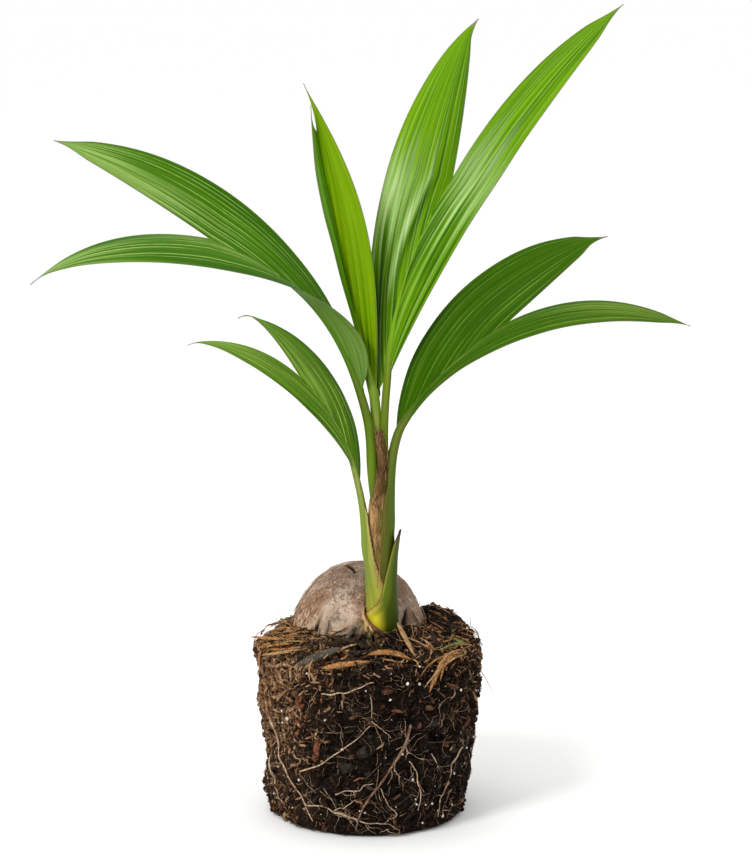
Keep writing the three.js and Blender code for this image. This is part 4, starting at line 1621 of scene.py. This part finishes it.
# Sheaths round the stem: heights with the bearings of their two margins, how far they stand off it,
# and how far they lean to the left or right where a stalk swings away.
sheaths = {
    "leftSheath": {
        "heights": (207, 225, 245, 265, 279, 285, 294, 305, 325, 345, 356, 364, 371),
        "left": (-178, -178, -178, -177, -176, -175, -174, -172, -162, -148, -134, -118, -104),
        "right": (66, 60, 48, 28, 11, 5, -5, -15, -23, -31, -33, -44, -70),
        "stand": (-1.5, 0.2, 0.6, 0.9, 1.2, 1.3, 1.4, 1.4, 1.3, 1.2, 1.0, 0.6, 0.2),
        "lean": (0, 0, 0, -0.2, -0.3, -0.4, -0.6, -0.9, -2.0, -3.2, -4.0, -4.6, -5.2),
        "wall": 1.2, "edge": 0.5,
    },
    "rightSheath": {
        "heights": (207, 240, 280, 305, 313, 331, 354, 377, 388, 396),
        "left": (-60, -60, -36, -12, -6, 2, 8, 18, 34, 56),
        "right": (182, 180, 176, 172, 170, 162, 150, 138, 130, 120),
        "stand": (-1.5, 0.1, 0.5, 0.8, 0.9, 1.0, 1.1, 0.9, 0.2, -0.8),
        "lean": (0, 0, 0.2, 0.6, 0.9, 1.6, 2.6, 3.6, 4.0, 4.2),
        "wall": 1.0, "edge": 0.1,
    },
    "scaleLeaf": {
        "heights": (207, 226, 240, 246, 255, 265, 285, 305, 316, 327, 333, 337.5),
        "left": (-130, -116, -88, -54, -18, 0, 16, 33, 41, 51, 62, 77),
        "right": (164, 160, 156, 154, 150, 146, 136, 122, 112, 102, 94, 83),
        "stand": (-5.0, 1.0, 1.6, 1.7, 1.9, 2.1, 2.8, 4.6, 6.4, 8.5, 9.6, 10.4),
        "wall": 1.4, "edge": 0.5,
    },
    "drySheath": {
        "heights": (286, 306, 323, 340, 351, 366, 379, 394, 405, 416, 430, 441, 456),
        "left": (-14, -27, -36, -44, -54, -54, -28, -13, -2, 3, -1, -6, -10),
        "right": (4, 6, 8, 12, 17, 24, 36, 46, 56, 60, 53, 42, 27),
        "stand": (0.9, 0.9, 0.8, 0.7, 0.6, 0.8, 1.0, 1.2, 1.4, 1.6, 1.8, 2.0, 2.2),
        "wall": 0.6, "edge": 0.3, "ragged": 7,
    },
    "deadBase": {
        "heights": (207, 214, 220, 225, 230, 236, 242, 252),
        "left": (-168, -166, -163, -160, -156, -150, -142, -126),
        "right": (22, 18, 12, 2, -14, -38, -58, -80),
        "stand": (4.6, 5.6, 6.4, 6.8, 6.6, 6.0, 4.6, 2.0),
        "wall": 0.8, "edge": 0.6, "ragged": 10,
    },
}
sheathMesh = {
    "along": 90,
    "across": 48,
    "teeth": (30, 2.6),         # how finely a torn end is cut
    "ribs": (60, 9, 2.2, 0.2),  # how fine the ribs are across and along, their size and height
    "wrinkleSize": 11,
    "seed": 81,
}


def sheathPoint(values, height, side):
    heights = np.array(values["heights"], float)
    left, right, stand, lean = (np.interp(height, heights, heights * 0 + values.get(key, 0))
                                for key in ("left", "right", "stand", "lean"))
    bearing = np.radians(lerp(left, right, side))
    radius = stemRadius(stemShare(height))
    reach = radius + stand + values["edge"] * (ease(side, 0.85, 1.0) + ease(side, 0.15, 0.0))
    centre = stemCentre(np.minimum(height, stem["top"][2]))
    return np.stack([
        centre[..., 0] + lean + np.sin(bearing) * reach,
        centre[..., 1] - np.cos(bearing) * (reach - (1 - stem["flatten"]) * radius),
        height,
    ], axis=-1)


def makeSheath(name, material, slot, *nodes, wrinkle=0.0, seed=0):
    values = sheaths[name]
    piece = newGrid(name, sheathMesh["along"], sheathMesh["across"])
    up, side = gridShares(piece)
    fine, size = sheathMesh["teeth"]
    teeth = np.stack([side * fine, np.full_like(side, seed), np.zeros_like(side)], axis=1)
    torn = softNoise(teeth, size, sheathMesh["seed"] + 6) * 0.5 + 0.5
    low, high = values["heights"][0], values["heights"][-1]
    height = lerp(low, high - values.get("ragged", 0) * torn, up)
    at = sheathPoint(values, height, side)
    outward = levelFrom(stemCentre(np.minimum(height, stem["top"][2])), at)
    wide, tall, ribSize, ribHeight = sheathMesh["ribs"]
    ribs = np.stack([side * wide, up * tall, np.full_like(up, seed)], axis=1)
    relief = softNoise(ribs, ribSize, sheathMesh["seed"] + seed) * ribHeight
    relief = relief + softNoise(at, sheathMesh["wrinkleSize"], sheathMesh["seed"] + 1 + seed) * wrinkle
    placeCorners(piece, at + outward * relief[:, None])
    addFinish(piece, [material])
    faceOutward(piece, outward)
    thicken(piece, values["wall"], offset=-1.0)
    seat(piece, slot, *nodes)


def makeSheaths():
    leftTones = ((0.0, (66, 92, 22)), (0.5, (78, 106, 26)), (0.72, (114, 131, 42)), (0.88, (146, 149, 62)),
                 (0.95, (178, 166, 92)), (0.972, (148, 120, 66)), (0.986, (86, 58, 32)), (1.0, (76, 50, 30)))
    leftGreen = sheathMaterial("leftSheathGreen", leftTones, (178, 164, 48), 0.62, stained=0.9)
    makeSheath("leftSheath", leftGreen, "stem")
    rightTones = ((0.0, (104, 84, 34)), (0.06, (90, 84, 22)), (0.16, (78, 84, 14)), (0.32, (66, 82, 16)),
                  (0.6, (66, 86, 20)), (1.0, (58, 74, 26)))
    makeSheath("rightSheath", sheathMaterial("rightSheathGreen", rightTones, (150, 138, 50), 0.1), "stem")
    makeSheath("scaleLeaf", scaleMaterial(), "scale_leaf", "scale_leaf", seed=3)
    makeSheath("drySheath", dryMaterial(), "dry_sheath", "dry_sheath", wrinkle=0.6, seed=5)
    # Tan across the dead base, with a near-black band just inside its right margin: painted shadow along that
    # margin
    deadTones = ((0.0, (104, 76, 50)), (0.4, (158, 122, 80)), (0.62, (190, 156, 106)),
                 (0.84, (204, 172, 118)), (0.93, (152, 104, 66)), (0.97, (58, 34, 20)), (1.0, (92, 60, 38)))
    deadTan = sheathMaterial("deadBaseTan", deadTones, (112, 66, 44), 0.42, 22.0, 0.75, (118, 78, 50))
    makeSheath("deadBase", deadTan, "dry_sheath", wrinkle=0.9, seed=7)
    print("sheaths", len(sheaths))


makeStem()
makeSheaths()


# Torn fibres across the dry sheath and at its top, and dry shreds round the stem's foot. One dark strip
# there is painted shadow where the nut meets the stem.

sheathFibres = {
    "crossing": 70,
    "lows": (268, 430),     # heights where the crossing ones start
    "rise": (8, 34),
    "span": (262, 450),
    "sides": (0.02, 0.95),  # where they start across the sheath, and how far they cross it
    "drift": (0.1, 0.75),
    "margins": (-0.05, 1.08),
    "lift": 1.1,
    "rest": 0.25,
    "standing": 46,
    "feet": (432, 448),     # heights where the standing ones start
    "reach": (3, 9),
    "lean": 0.16,
    "splay": 0.12,
    "half": (0.16, 0.4),
    "points": 8,
    "seed": 91,
}
footShreds = {
    # bearing and height at the top and at the foot, stand off, half width, tone
    "placed": (
        # A dark strip where the nut meets the stem: painted shadow between them
        (-88, 268, -82, 240, 1.4, 0.9, 1),
        (-44, 234, -16, 219, 6.8, 1.9, 0),
        (-34, 232, -4, 217, 6.6, 1.8, 1),
        (-18, 229, 6, 215, 6.4, 1.6, 1),
        (-4, 226, 12, 214, 5.6, 1.4, 1),
        (140, 240, 150, 206, 2.8, 3.0, 0),
        (-150, 246, -140, 208, 2.6, 3.2, 1),
        (176, 232, 184, 206, 2.6, 2.6, 0),
    ),
    "outline": (0.15, 0.55, 0.8, 0.95, 1.0, 1.0, 0.9, 0.6),
    "flare": 2.2,  # how far their feet stand off
    "thickness": 1.1,
}


def makeSheathFibres():
    rng = seeded(sheathFibres)
    share = evenShares(sheathFibres["points"])
    values = sheaths["drySheath"]
    count = sheathFibres["crossing"]
    low = rng.uniform(*sheathFibres["lows"], count)
    rise = rng.uniform(*sheathFibres["rise"], count)
    side = rng.uniform(*sheathFibres["sides"], count)
    drift = rng.choice((-1, 1), count) * rng.uniform(*sheathFibres["drift"], count)
    heights = np.clip(low[:, None] + rise[:, None] * share, *sheathFibres["span"])
    sides = np.clip(side[:, None] + drift[:, None] * share, *sheathFibres["margins"])
    at = sheathPoint(values, heights, sides)
    arch = rng.uniform(0, sheathFibres["lift"], (count, 1)) * np.sin(share * math.pi)
    lift = sheathFibres["rest"] + arch
    crossing = at + levelFrom(stemCentre(heights), at) * lift[..., None]
    count = sheathFibres["standing"]
    side = rng.uniform(0, 1, count)
    foot = sheathPoint(values, rng.uniform(*sheathFibres["feet"], count), side)
    away = levelFrom(stemCentre(stem["top"][2]), foot)
    reach = rng.uniform(*sheathFibres["reach"], (count, 1, 1))
    lean = rng.normal(0, sheathFibres["lean"], (count, 3))
    rising = foot[:, None] + reach * share[:, None] * (np.array([0, 0, 1.0]) + lean[:, None])
    standing = rising + away[:, None] * (reach * sheathFibres["splay"] * (share ** 2)[:, None])
    paths = chained(crossing, standing)
    half = lerp(*sheathFibres["half"], rng.random((len(paths), 1)) ** 2) * lerp(1, 0.45, share)
    dark = earthy("sheathFibreDark", (62, 40, 24), (88, 58, 36), (116, 82, 54))
    tan = earthy("sheathFibreTan", (140, 100, 64), (170, 130, 90), (196, 160, 120))
    seatStrands("sheathFibres", "dry_sheath", [dark, tan], rng.choice(2, len(paths)), paths, half,
                np.zeros_like(paths) + (0.2, -1.0, 0.1))
    print("sheath fibres", len(paths))


def makeFootShreds():
    rows = np.array(footShreds["placed"])
    outline = np.array(footShreds["outline"])
    share = evenShares(len(outline))
    heights = lerp(rows[:, 1, None], rows[:, 3, None], share)
    outward = levelAt(np.radians(lerp(rows[:, 0, None], rows[:, 2, None], share)))
    reach = stemRadius(stemShare(heights)) + rows[:, 4, None] + footShreds["flare"] * share ** 2
    paths = outward * reach[..., None]
    paths[..., :2] = paths[..., :2] + stemCentre(heights)
    paths[..., 2] = heights
    shred = earthy("shredTan", (150, 112, 70), (190, 150, 102), (214, 182, 136), 90.0, 0.75)
    flake = earthy("shredBrown", (58, 36, 22), (92, 58, 38), (136, 94, 66), 90.0)
    seatStrands("footShreds", "stem", [shred, flake], rows[:, 6], paths, rows[:, 5, None] * outline, outward,
                footShreds["thickness"] / rows[:, 5])
    print("foot shreds", len(rows))


makeSheathFibres()
makeFootShreds()


# Fronds

blade = {
    "along": 130,
    "across": 84,
    "pleatShare": 0.16,       # depth of a pleat against its width
    "pleatMost": 1.6,
    "uneven": 0.36,           # how far the ribs stray from even spacing
    "pleatVary": (0.3, 1.3),  # least and greatest depth of one pleat against the rest
    "camber": 0.05,
    "ribStart": 0.6,          # share of the ribs that leave the midrib above the blade's base
    "thickness": 0.7,
    "tipWidth": 0.7,
    "slimFrom": 0.9,          # the tip is drawn out from here on
    "ripple": 0.9,
    "rippleSize": 38,
    # how finely ripples are cut along and across, and from lobe to lobe
    "rippleGrain": (300, 40, 50),
    "rippleSeed": 95,
    "phaseStep": 20,          # keeps the pleats of two lobes from having the same numbers
    "ribClear": 30,           # keeps the dry margin off the midrib below the fork
    "forkEase": 0.015,
    "hookFrom": 0.94,
    "crease": 0.96,           # folds are sharper the nearer this is to 1
    "upperSide": (0.0, -1.0, 0.2),
    "seed": 301,
    "under": (112, 136, 76),  # the grey green that the underside leans to
    # the tone of painted shade on the blades
    "paintedShade": (12, 56, 0),
    "margin": (96, 94, 66),
    "dry": (126, 116, 100),
}
stalkRod = {
    "handles": (0.45, 0.2),
    "rooted": 55,    # how deep it starts in the stem
    "steps": 130,
    "sides": 28,
    "ribHalf": 1.5,  # half widths of the midrib at the blade's base and at the fork
    "forkHalf": 0.6,
    "groove": 0.25,
    "grooveReach": 0.55,
}
# Greens are deep, fresh and pale, and a stalk's tones are its side, edge and foot. Panels is how far the
# pleats differ in tone, faces how far the two faces of a pleat do, as painted light on one and painted shade
# on the other, and base shade stripes how dark some pleats are painted at the base, as painted shade. A
# patch of painted sheen or painted shade is its place along the blade and its reach, its place across (0 at
# the midrib) and its reach, and its strength. Painted sheen stands in for light that the waxy blade
# reflects, painted shade for shadow on it. A valley is its place across, its width and depth, and how far up
# the blade it runs.
greenStalk = ((84, 108, 8), (112, 126, 26), (84, 106, 12))
paleStalk = ((104, 124, 36), (142, 150, 74), (108, 128, 40))
darkStalk = ((66, 84, 10), (94, 106, 28), (66, 84, 14))
deepStalk = ((64, 90, 4), (88, 106, 16), (90, 116, 12))
youngStalk = ((90, 118, 20), (120, 144, 44), (170, 178, 90))
fronds = [
    {
        "name": "lower_left_frond",
        "stalk": {"start": (-2.5, -42, 325), "half": (4.2, 3.6), "foot": (5.4, 6.5),
                  "upper": (1.0, -0.2, 0.6), "tones": paleStalk},
        "rib": ((-14, -42, 403), (-31, -58, 472), (-74, -75, 516)),
        "lobes": (
            {"name": "upper_lobe", "inner": (-120, -70, 593), "tip": (-141, -55, 583),
             "outer": ((-10, -42, 388), (-1, -10, 474), (-58, -5, 566)), "hook": (-2, 0, -4), "pleats": 7,
             "paintedSheen": ((0.6, 0.5, 0.3, 0.7, 0.3),), "paintedShade": ((0.15, 0.25, 0.8, 0.5, 0.3),)},
            {"name": "lower_lobe", "inner": (-126, -105, 570), "tip": (-193, -140, 565),
             "outer": ((-17, -44, 408), (-35, -95, 468), (-137, -165, 574)), "hook": (0, 0, -3), "pleats": 6,
             "paintedSheen": ((0.75, 0.5, 0.4, 0.8, 0.35),), "paintedShade": ((0.3, 0.35, 1.0, 0.4, 0.4),)},
        ),
        "greens": ((46, 90, 0), (88, 132, 8), (176, 198, 100)),
        "gloss": 0.06, "ribs": 0.9, "panels": 0.7, "faces": 0.25, "pleatDepth": 0.9,
    },
    {
        "name": "upper_left_frond",
        "stalk": {"start": (4.5, -38, 420), "half": (5.0, 3.8), "foot": (6.3, 5.4),
                  "upper": (1.0, -0.2, 0.6), "tones": deepStalk},
        "rib": ((-8, -36, 491), (-45, -10, 610), (-179, 45, 655)),
        "lobes": (
            {"name": "upper_lobe", "inner": (-267, 65, 714), "tip": (-359, 95, 762),
             "outer": ((-4, -32, 494), (-43, 45, 643), (-192, 105, 770)), "pleats": 12,
             "paintedSheen": ((0.76, 0.3, 0.1, 0.55, 0.6), (0.97, 0.2, 0.5, 0.9, 0.6)),
             "paintedShade": ((0.45, 0.4, 0.95, 0.4, 0.3),)},
            {"name": "lower_lobe", "inner": (-302, 25, 680), "tip": (-377, 0, 609),
             "outer": ((-4, -41, 505), (43, -65, 634), (-311, -20, 669)), "pleats": 7,
             "paintedSheen": ((0.5, 0.25, 0.0, 0.6, 0.45), (0.95, 0.25, 0.5, 0.9, 0.6),
                       (0.08, 0.25, 0.6, 0.9, 0.35)),
             "paintedShade": ((0.5, 0.3, 1.0, 0.5, 0.5), (0.02, 0.15, 0.4, 0.9, 0.25))},
        ),
        "greens": ((36, 79, 0), (66, 110, 0), (162, 190, 104)),
        "gloss": 0.04, "ribs": 0.85, "panels": 0.5, "faces": 0.2, "pleatDepth": 0.6,
    },
    {
        "name": "spear_leaf",
        "stalk": {"start": (9.8, -30, 430), "half": (5.8, 3.6), "foot": (5.6, 3.8),
                  "upper": (0.4, -1.0, 0.2), "tones": youngStalk},
        "rib": ((6, -31, 493), (-30, -6, 640), (-57, 18, 778)),
        "lobes": (
            {"name": "left_lobe", "inner": (-63, 15, 785), "tip": (-63, 10, 808),
             "outer": ((2, -33, 498), (-23, -45, 606), (-64, -10, 704)), "pleats": 3,
             "greens": ((40, 96, 0), (88, 138, 6), (150, 180, 90)),
             "paintedSheen": ((0.78, 0.4, 1.0, 0.6, 0.7),), "paintedShade": ((0.3, 0.45, 0.15, 0.6, 0.5),)},
            {"name": "right_lobe", "inner": (-58, 18, 800), "tip": (-72, 22, 831),
             "outer": ((10, -32, 495), (14, -40, 645), (4, -5, 709)), "pleats": 7,
             "paintedShade": ((0.05, 0.15, 0.5, 0.9, 0.4),)},
        ),
        "greens": ((76, 116, 0), (114, 148, 0), (156, 176, 60)),
        "gloss": 0.05, "ribs": 0.3, "panels": 0.5, "faces": 0.15, "pleatDepth": 0.6,
        "slot": "young_leaf",
    },
    {
        "name": "centre_frond",
        "stalk": {"start": (18.2, -35, 428), "half": (4.5, 3.4), "foot": (4.7, 3.8),
                  "upper": (-0.6, -0.8, 0.3), "tones": greenStalk},
        "rib": ((22, -34, 514), (30, -15, 629), (95, 25, 726)),
        "lobes": (
            {"name": "left_lobe", "inner": (112, 50, 810), "tip": (118, 75, 898),
             "outer": ((6, -24, 480), (-14, 28, 636), (14, 80, 797)), "hook": (7, 0, 3), "pleats": 12,
             "slim": 0.85, "valley": (0.78, 0.14, 6, 0.5),
             "paintedSheen": ((0.52, 0.2, 0.8, 0.44, 0.65), (0.42, 0.24, 0.37, 0.11, 0.9)),
             "paintedShade": ((0.68, 0.45, 0.0, 0.3, 0.4), (0.12, 0.26, 0.8, 0.45, 0.9), (0.45, 0.3, 0.23, 0.1, 0.8),
                       (0.45, 0.3, 0.52, 0.09, 0.45))},
            {"name": "right_lobe", "inner": (174, 20, 865), "tip": (281, 5, 919),
             "outer": ((26, -35, 516), (91, -45, 667), (186, -20, 792)), "pleats": 10,
             "paintedSheen": ((0.48, 0.16, 0.5, 0.9, 0.55),), "paintedShade": ((0.12, 0.2, 0.05, 0.3, 0.4),)},
        ),
        "greens": ((50, 96, 0), (104, 148, 0), (184, 206, 148)),
        "baseShadeStripes": 0.6,
        "gloss": 0.03, "ribs": 0.25, "panels": 0.9, "faces": 0.2, "pleatDepth": 0.8,
    },
    {
        "name": "right_frond",
        "stalk": {"start": (23.8, -39, 352), "half": (5.6, 4.2), "foot": (6.8, 9.0),
                  "upper": (-1.0, -0.2, 0.7), "tones": darkStalk},
        "rib": ((38, -38, 457), (83, -55, 532), (154, -75, 578)),
        "lobes": (
            {"name": "upper_lobe", "inner": (204, -75, 624), "tip": (255, -60, 670),
             "outer": ((32, -37, 444), (29, -5, 566), (154, 0, 675)), "hook": (7, 0, 0), "pleats": 11,
             "paintedShade": ((0.1, 0.2, 0.9, 0.4, 0.3),)},
            {"name": "lower_lobe", "inner": (250, -105, 631), "tip": (345, -140, 583),
             "outer": ((44, -40, 459), (108, -105, 569), (240, -170, 606)), "pleats": 7,
             "paintedSheen": ((0.85, 0.3, 0.4, 0.8, 0.5), (0.3, 0.3, 0.1, 0.3, 0.4))},
        ),
        "greens": ((34, 70, 0), (54, 92, 0), (130, 154, 60)),
        "gloss": 0.03, "ribs": 0.6, "panels": 0.5, "faces": 0.2, "pleatDepth": 0.5,
    },
]


# Share of one patch of painted sheen or painted shade, with its border broken up from pleat to pleat.
def patchShare(marks, along, reach, side, wide, strength):
    moved = plus(marks["Along"], ranged(marks["Panel"], 0.0, 1.0, -0.07, 0.07))
    up = calc("ABSOLUTE", calc("SUBTRACT", moved, along))
    off = calc("ABSOLUTE", calc("SUBTRACT", marks["Side"], side))
    return times(ranged(up, reach, 0.0, 0.0, strength), ranged(off, wide, 0.0))


def leafMaterial(name, frond, lobe, greens, ribs, roughness):
    deep, fresh, pale = greens
    material, tree, shader = newMaterial(name, roughness, specular=frond["gloss"])
    marks = useGroup(tree, bladeMarks)
    tones = useGroup(tree, mottle, Scale=14.0)
    # The two faces of a pleat get painted light and painted shade, by the frond's faces share
    panel = plus(times(marks["Panel"], 1 - frond["faces"]), times(marks["Face"], frond["faces"]))
    uneven = plus(ranged(marks["Vein"], 0.15, 0.75, 0.25, 0.7), ranged(panel, 0.3, 0.7, 0.0, 0.3))
    half = frond["panels"] * 0.5
    lower = ranged(marks["Along"], 0.55, 0.15, 0.0, frond.get("baseShadeStripes", 0.0))
    colour = mixed(ranged(panel, 0.0, 1.0, 0.5 - half, 0.5 + half), tint(*deep), tint(*fresh))
    colour = layered(
        colour,
        (ranged(marks["Vein"], 0.5, 1.0, 0.0, 0.55), fresh),
        (ranged(marks["Vein"], 0.5, 0.0, 0.0, 0.55), deep),
        (times(tones["Patch"], 0.2), fresh),
        # Painted shade in the valleys of the pleats
        (times(marks["Groove"], 0.45), deep),
        # Painted shade on the darker pleats near the base; some others turn a little paler
        (times(lower, ranged(marks["Panel"], 0.45, 0.1)), blade["paintedShade"]),
        (times(lower, ranged(marks["Panel"], 0.7, 1.0, 0.0, 0.15)), pale),
        # Painted shade: dark patches where the blade lies in shadow
        *((patchShare(marks, *patch), blade["paintedShade"]) for patch in lobe.get("paintedShade", ())),
        # Painted sheen: pale patches for the light that the waxy blade reflects
        *((times(patchShare(marks, *patch), uneven), pale) for patch in lobe.get("paintedSheen", ())),
        (times(marks["Rib"], ribs), pale),
        (times(marks["Margin"], 0.8), blade["margin"]),
        (marks["Dry"], blade["dry"]),
    )
    grain = ranged(marks["Vein"], 0.0, 1.0, roughness - 0.05, roughness + 0.07)
    feed(shader.inputs["Roughness"], plus(times(marks["Dry"], 0.3), grain))
    paint(shader, colour, plus(times(marks["Vein"], 0.6), marks["Rib"]), 0.35, 0.3)
    return material


def stalkMaterial(name, side, edge, foot, above, baseAt):
    material, tree, shader = newMaterial(name, 0.45, specular=0.15)
    marks = useGroup(tree, streaks, Lines=26.0, Run=3.0)
    grain = useGroup(tree, mottle, Scale=26.0, Stretch=(1.0, 1.0, 0.4))["Grain"]
    colour = layered(
        mixed(marks["Broad"], tint(*side), tint(*edge)),
        (times(marks["Streak"], 0.4), (70, 96, 18)),
        (ranged(grain, 0.75, 1.0, 0.0, 0.5), (104, 84, 44)),
        (ranged(marks["Along"], baseAt * 0.9, baseAt * 0.5, 0.0, 0.8), foot),
        (ranged(marks["Along"], baseAt * 0.95, baseAt + 0.15, 0.0, 0.9), above),
    )
    paint(shader, colour, marks["Streak"], 0.2, 0.3)
    return material


# The stalk rises inside the stem, swings out to the blade and runs on in it as the midrib.
def stalkLine(frond):
    start = np.array(frond["stalk"]["start"], float)
    base = np.array(frond["rib"][0], float)
    reach = np.linalg.norm(base - start)
    foot, bend, top = (np.array(stem[key], float) for key in ("foot", "bend", "top"))
    up = unit(lerp(bend - foot, top - bend, 0.8))
    arrive = base - unit(np.array(frond["rib"][1], float) - base) * reach * stalkRod["handles"][1]
    swing = bezier([start, start + up * reach * stalkRod["handles"][0], arrive, base])
    deep = start - np.array([0, 0, stalkRod["rooted"]])
    deep[:2] = lerp(deep[:2], stemCentre(deep[2]), 0.75)
    rooted = bezier([deep, start - up * stalkRod["rooted"] * 0.4, start])
    swing = chained(rooted, swing[1:])
    return swing, chained(swing, bezier(frond["rib"])[1:])


def makeStalk(frond):
    swing, line = stalkLine(frond)
    baseAt = runOf(swing)[-1] / runOf(line)[-1]
    material = stalkMaterial(frond["name"] + "_green", *frond["stalk"]["tones"], frond["greens"][1], baseAt)
    name = frond["name"] + "_stalk"
    wide, thick = frond["stalk"]["half"]
    footWide, footThick = frond["stalk"]["foot"]
    upper = np.array(frond["stalk"]["upper"])

    def half(share):
        past = ease(share, baseAt * 0.85, baseAt + (1 - baseAt) * 0.5)
        rib = lerp(stalkRod["ribHalf"], stalkRod["forkHalf"], ease(share, baseAt, 1))
        slim = ease(share, baseAt * 0.4, baseAt * 0.85)
        return lerp(lerp(footThick, thick, slim), rib, past), lerp(lerp(footWide, wide, slim), rib, past)

    def section(share, angle, across, out):
        facing = np.arctan2(out @ upper, across @ upper)
        apart = np.abs((angle - facing + math.pi) % (2 * math.pi) - math.pi)
        return 1 - stalkRod["groove"] * bell(apart, 0, stalkRod["grooveReach"]) * ease(share, 0.25, 0.5)

    piece = rodPiece(name, line, stalkRod["steps"], stalkRod["sides"], (0, 1, 0), half, section)
    addFinish(piece, [material])
    seat(piece, "stalk", name)


def makeLobe(name, frond, lobe, materials, seed):
    steps = blade["along"]
    rib = bezier(frond["rib"])
    free = bezier([frond["rib"][2], lobe["inner"], lobe["tip"]])
    innerLine = chained(rib, free[1:])
    forkAt = runOf(rib)[-1] / runOf(innerLine)[-1]
    inner = evenly(innerLine, steps + 1)
    outer = evenly(bezier([*lobe["outer"], lobe["tip"]]), steps + 1)
    wide = outer - inner
    slim = lerp(1, lobe.get("slim", 0.5), ease(evenShares(steps + 1), blade["slimFrom"], 1))
    inner = inner + wide * ((1 - slim) * 0.5)[:, None]
    wide = wide * slim[:, None]
    width = np.linalg.norm(wide, axis=1)
    for i in range(1, steps + 1):
        if width[i] < blade["tipWidth"]:
            wide[i] = unit(wide[i - 1]) * blade["tipWidth"]
    width = np.linalg.norm(wide, axis=1)

    piece = newGrid(name, steps, blade["across"])
    along, side = gridShares(piece)
    row = np.round(along * steps).astype(int)
    at = inner[row] + wide[row] * side[:, None]
    ahead = np.minimum(row + 1, steps)
    behind = np.maximum(row - 1, 0)
    tangent = (inner[ahead] + wide[ahead] * side[:, None]) - (inner[behind] + wide[behind] * side[:, None])
    face = unit(np.cross(tangent, wide[row]))
    middle = np.abs(along - 0.6) < 0.1
    if face[middle].mean(axis=0) @ np.array(blade["upperSide"]) < 0:
        face = -face

    # Ribs leave the midrib one after another up to the fork, and close in again at the tip.
    pleats = lobe["pleats"]
    started = blade["ribStart"] * np.clip(1 - along / forkAt, 0, 1)
    rng = np.random.default_rng(blade["seed"] + seed)
    knots = (np.arange(pleats + 1) + rng.uniform(-blade["uneven"], blade["uneven"], pleats + 1)) / pleats
    knots[0], knots[-1] = 0, 1
    phase = np.interp(lerp(started, 1.0, side), knots, np.arange(pleats + 1))
    pleatWidth = width[row] / (pleats * (1 - started))
    varied = np.interp(phase, np.arange(pleats + 1), rng.uniform(*blade["pleatVary"], pleats + 1))
    depth = np.minimum(pleatWidth * blade["pleatShare"], blade["pleatMost"]) * frond["pleatDepth"] * varied
    fold = np.arcsin(np.cos(phase * 2 * math.pi) * blade["crease"]) * 2 / math.pi
    full = np.sin(math.pi * lerp(0.03, 0.97, along)) ** 0.5
    bow = blade["camber"] * width[row] * np.sin(math.pi * side) * full
    fine, coarse, apart = blade["rippleGrain"]
    onBlade = np.stack([along * fine, side * coarse, np.full_like(side, seed * apart)], axis=1)
    ripple = blade["ripple"] * softNoise(onBlade, blade["rippleSize"], blade["rippleSeed"])
    lift = fold * depth * full + bow + ripple * side
    if "valley" in lobe:
        place, spread, deepest, runsTo = lobe["valley"]
        lift = lift - deepest * bell(side, place, spread) * ease(along, runsTo, runsTo * 0.4)
    hooked = np.clip((along - blade["hookFrom"]) / (1 - blade["hookFrom"]), 0, 1) ** 2
    at = at + face * lift[:, None] + np.array(lobe.get("hook", (0, 0, 0))) * hooked[:, None]
    placeCorners(piece, at)
    keepValue(piece, "ribPhase", phase + seed * blade["phaseStep"])
    keepValue(piece, "acrossBlade", side)
    keepValue(piece, "alongBlade", along)
    onRib = blade["ribClear"] * (1 - ease(along, forkAt - blade["forkEase"], forkAt + blade["forkEase"]))
    keepValue(piece, "fromEdge", np.minimum((1 - side) * width[row], side * width[row] + onRib))
    addFinish(piece, materials)
    faceOutward(piece, face)
    thicken(piece, blade["thickness"], backSlot=1)
    seat(piece, frond.get("slot", "leaf"), name)


def makeFronds():
    for i, frond in enumerate(fronds):
        makeStalk(frond)
        for k, lobe in enumerate(frond["lobes"]):
            name = frond["name"] + "_" + lobe["name"]
            greens = lobe.get("greens", frond["greens"])
            greyed = [tuple(round(lerp(v, g, 0.45)) for v, g in zip(tone, blade["under"])) for tone in greens]
            top = leafMaterial(name + "_top", frond, lobe, greens, frond["ribs"], 0.4)
            under = leafMaterial(name + "_under", frond, lobe, greyed, frond["ribs"] * 0.5, 0.55)
            makeLobe(name, frond, lobe, [top, under], i * 2 + k)
    print("fronds", len(fronds))


makeFronds()
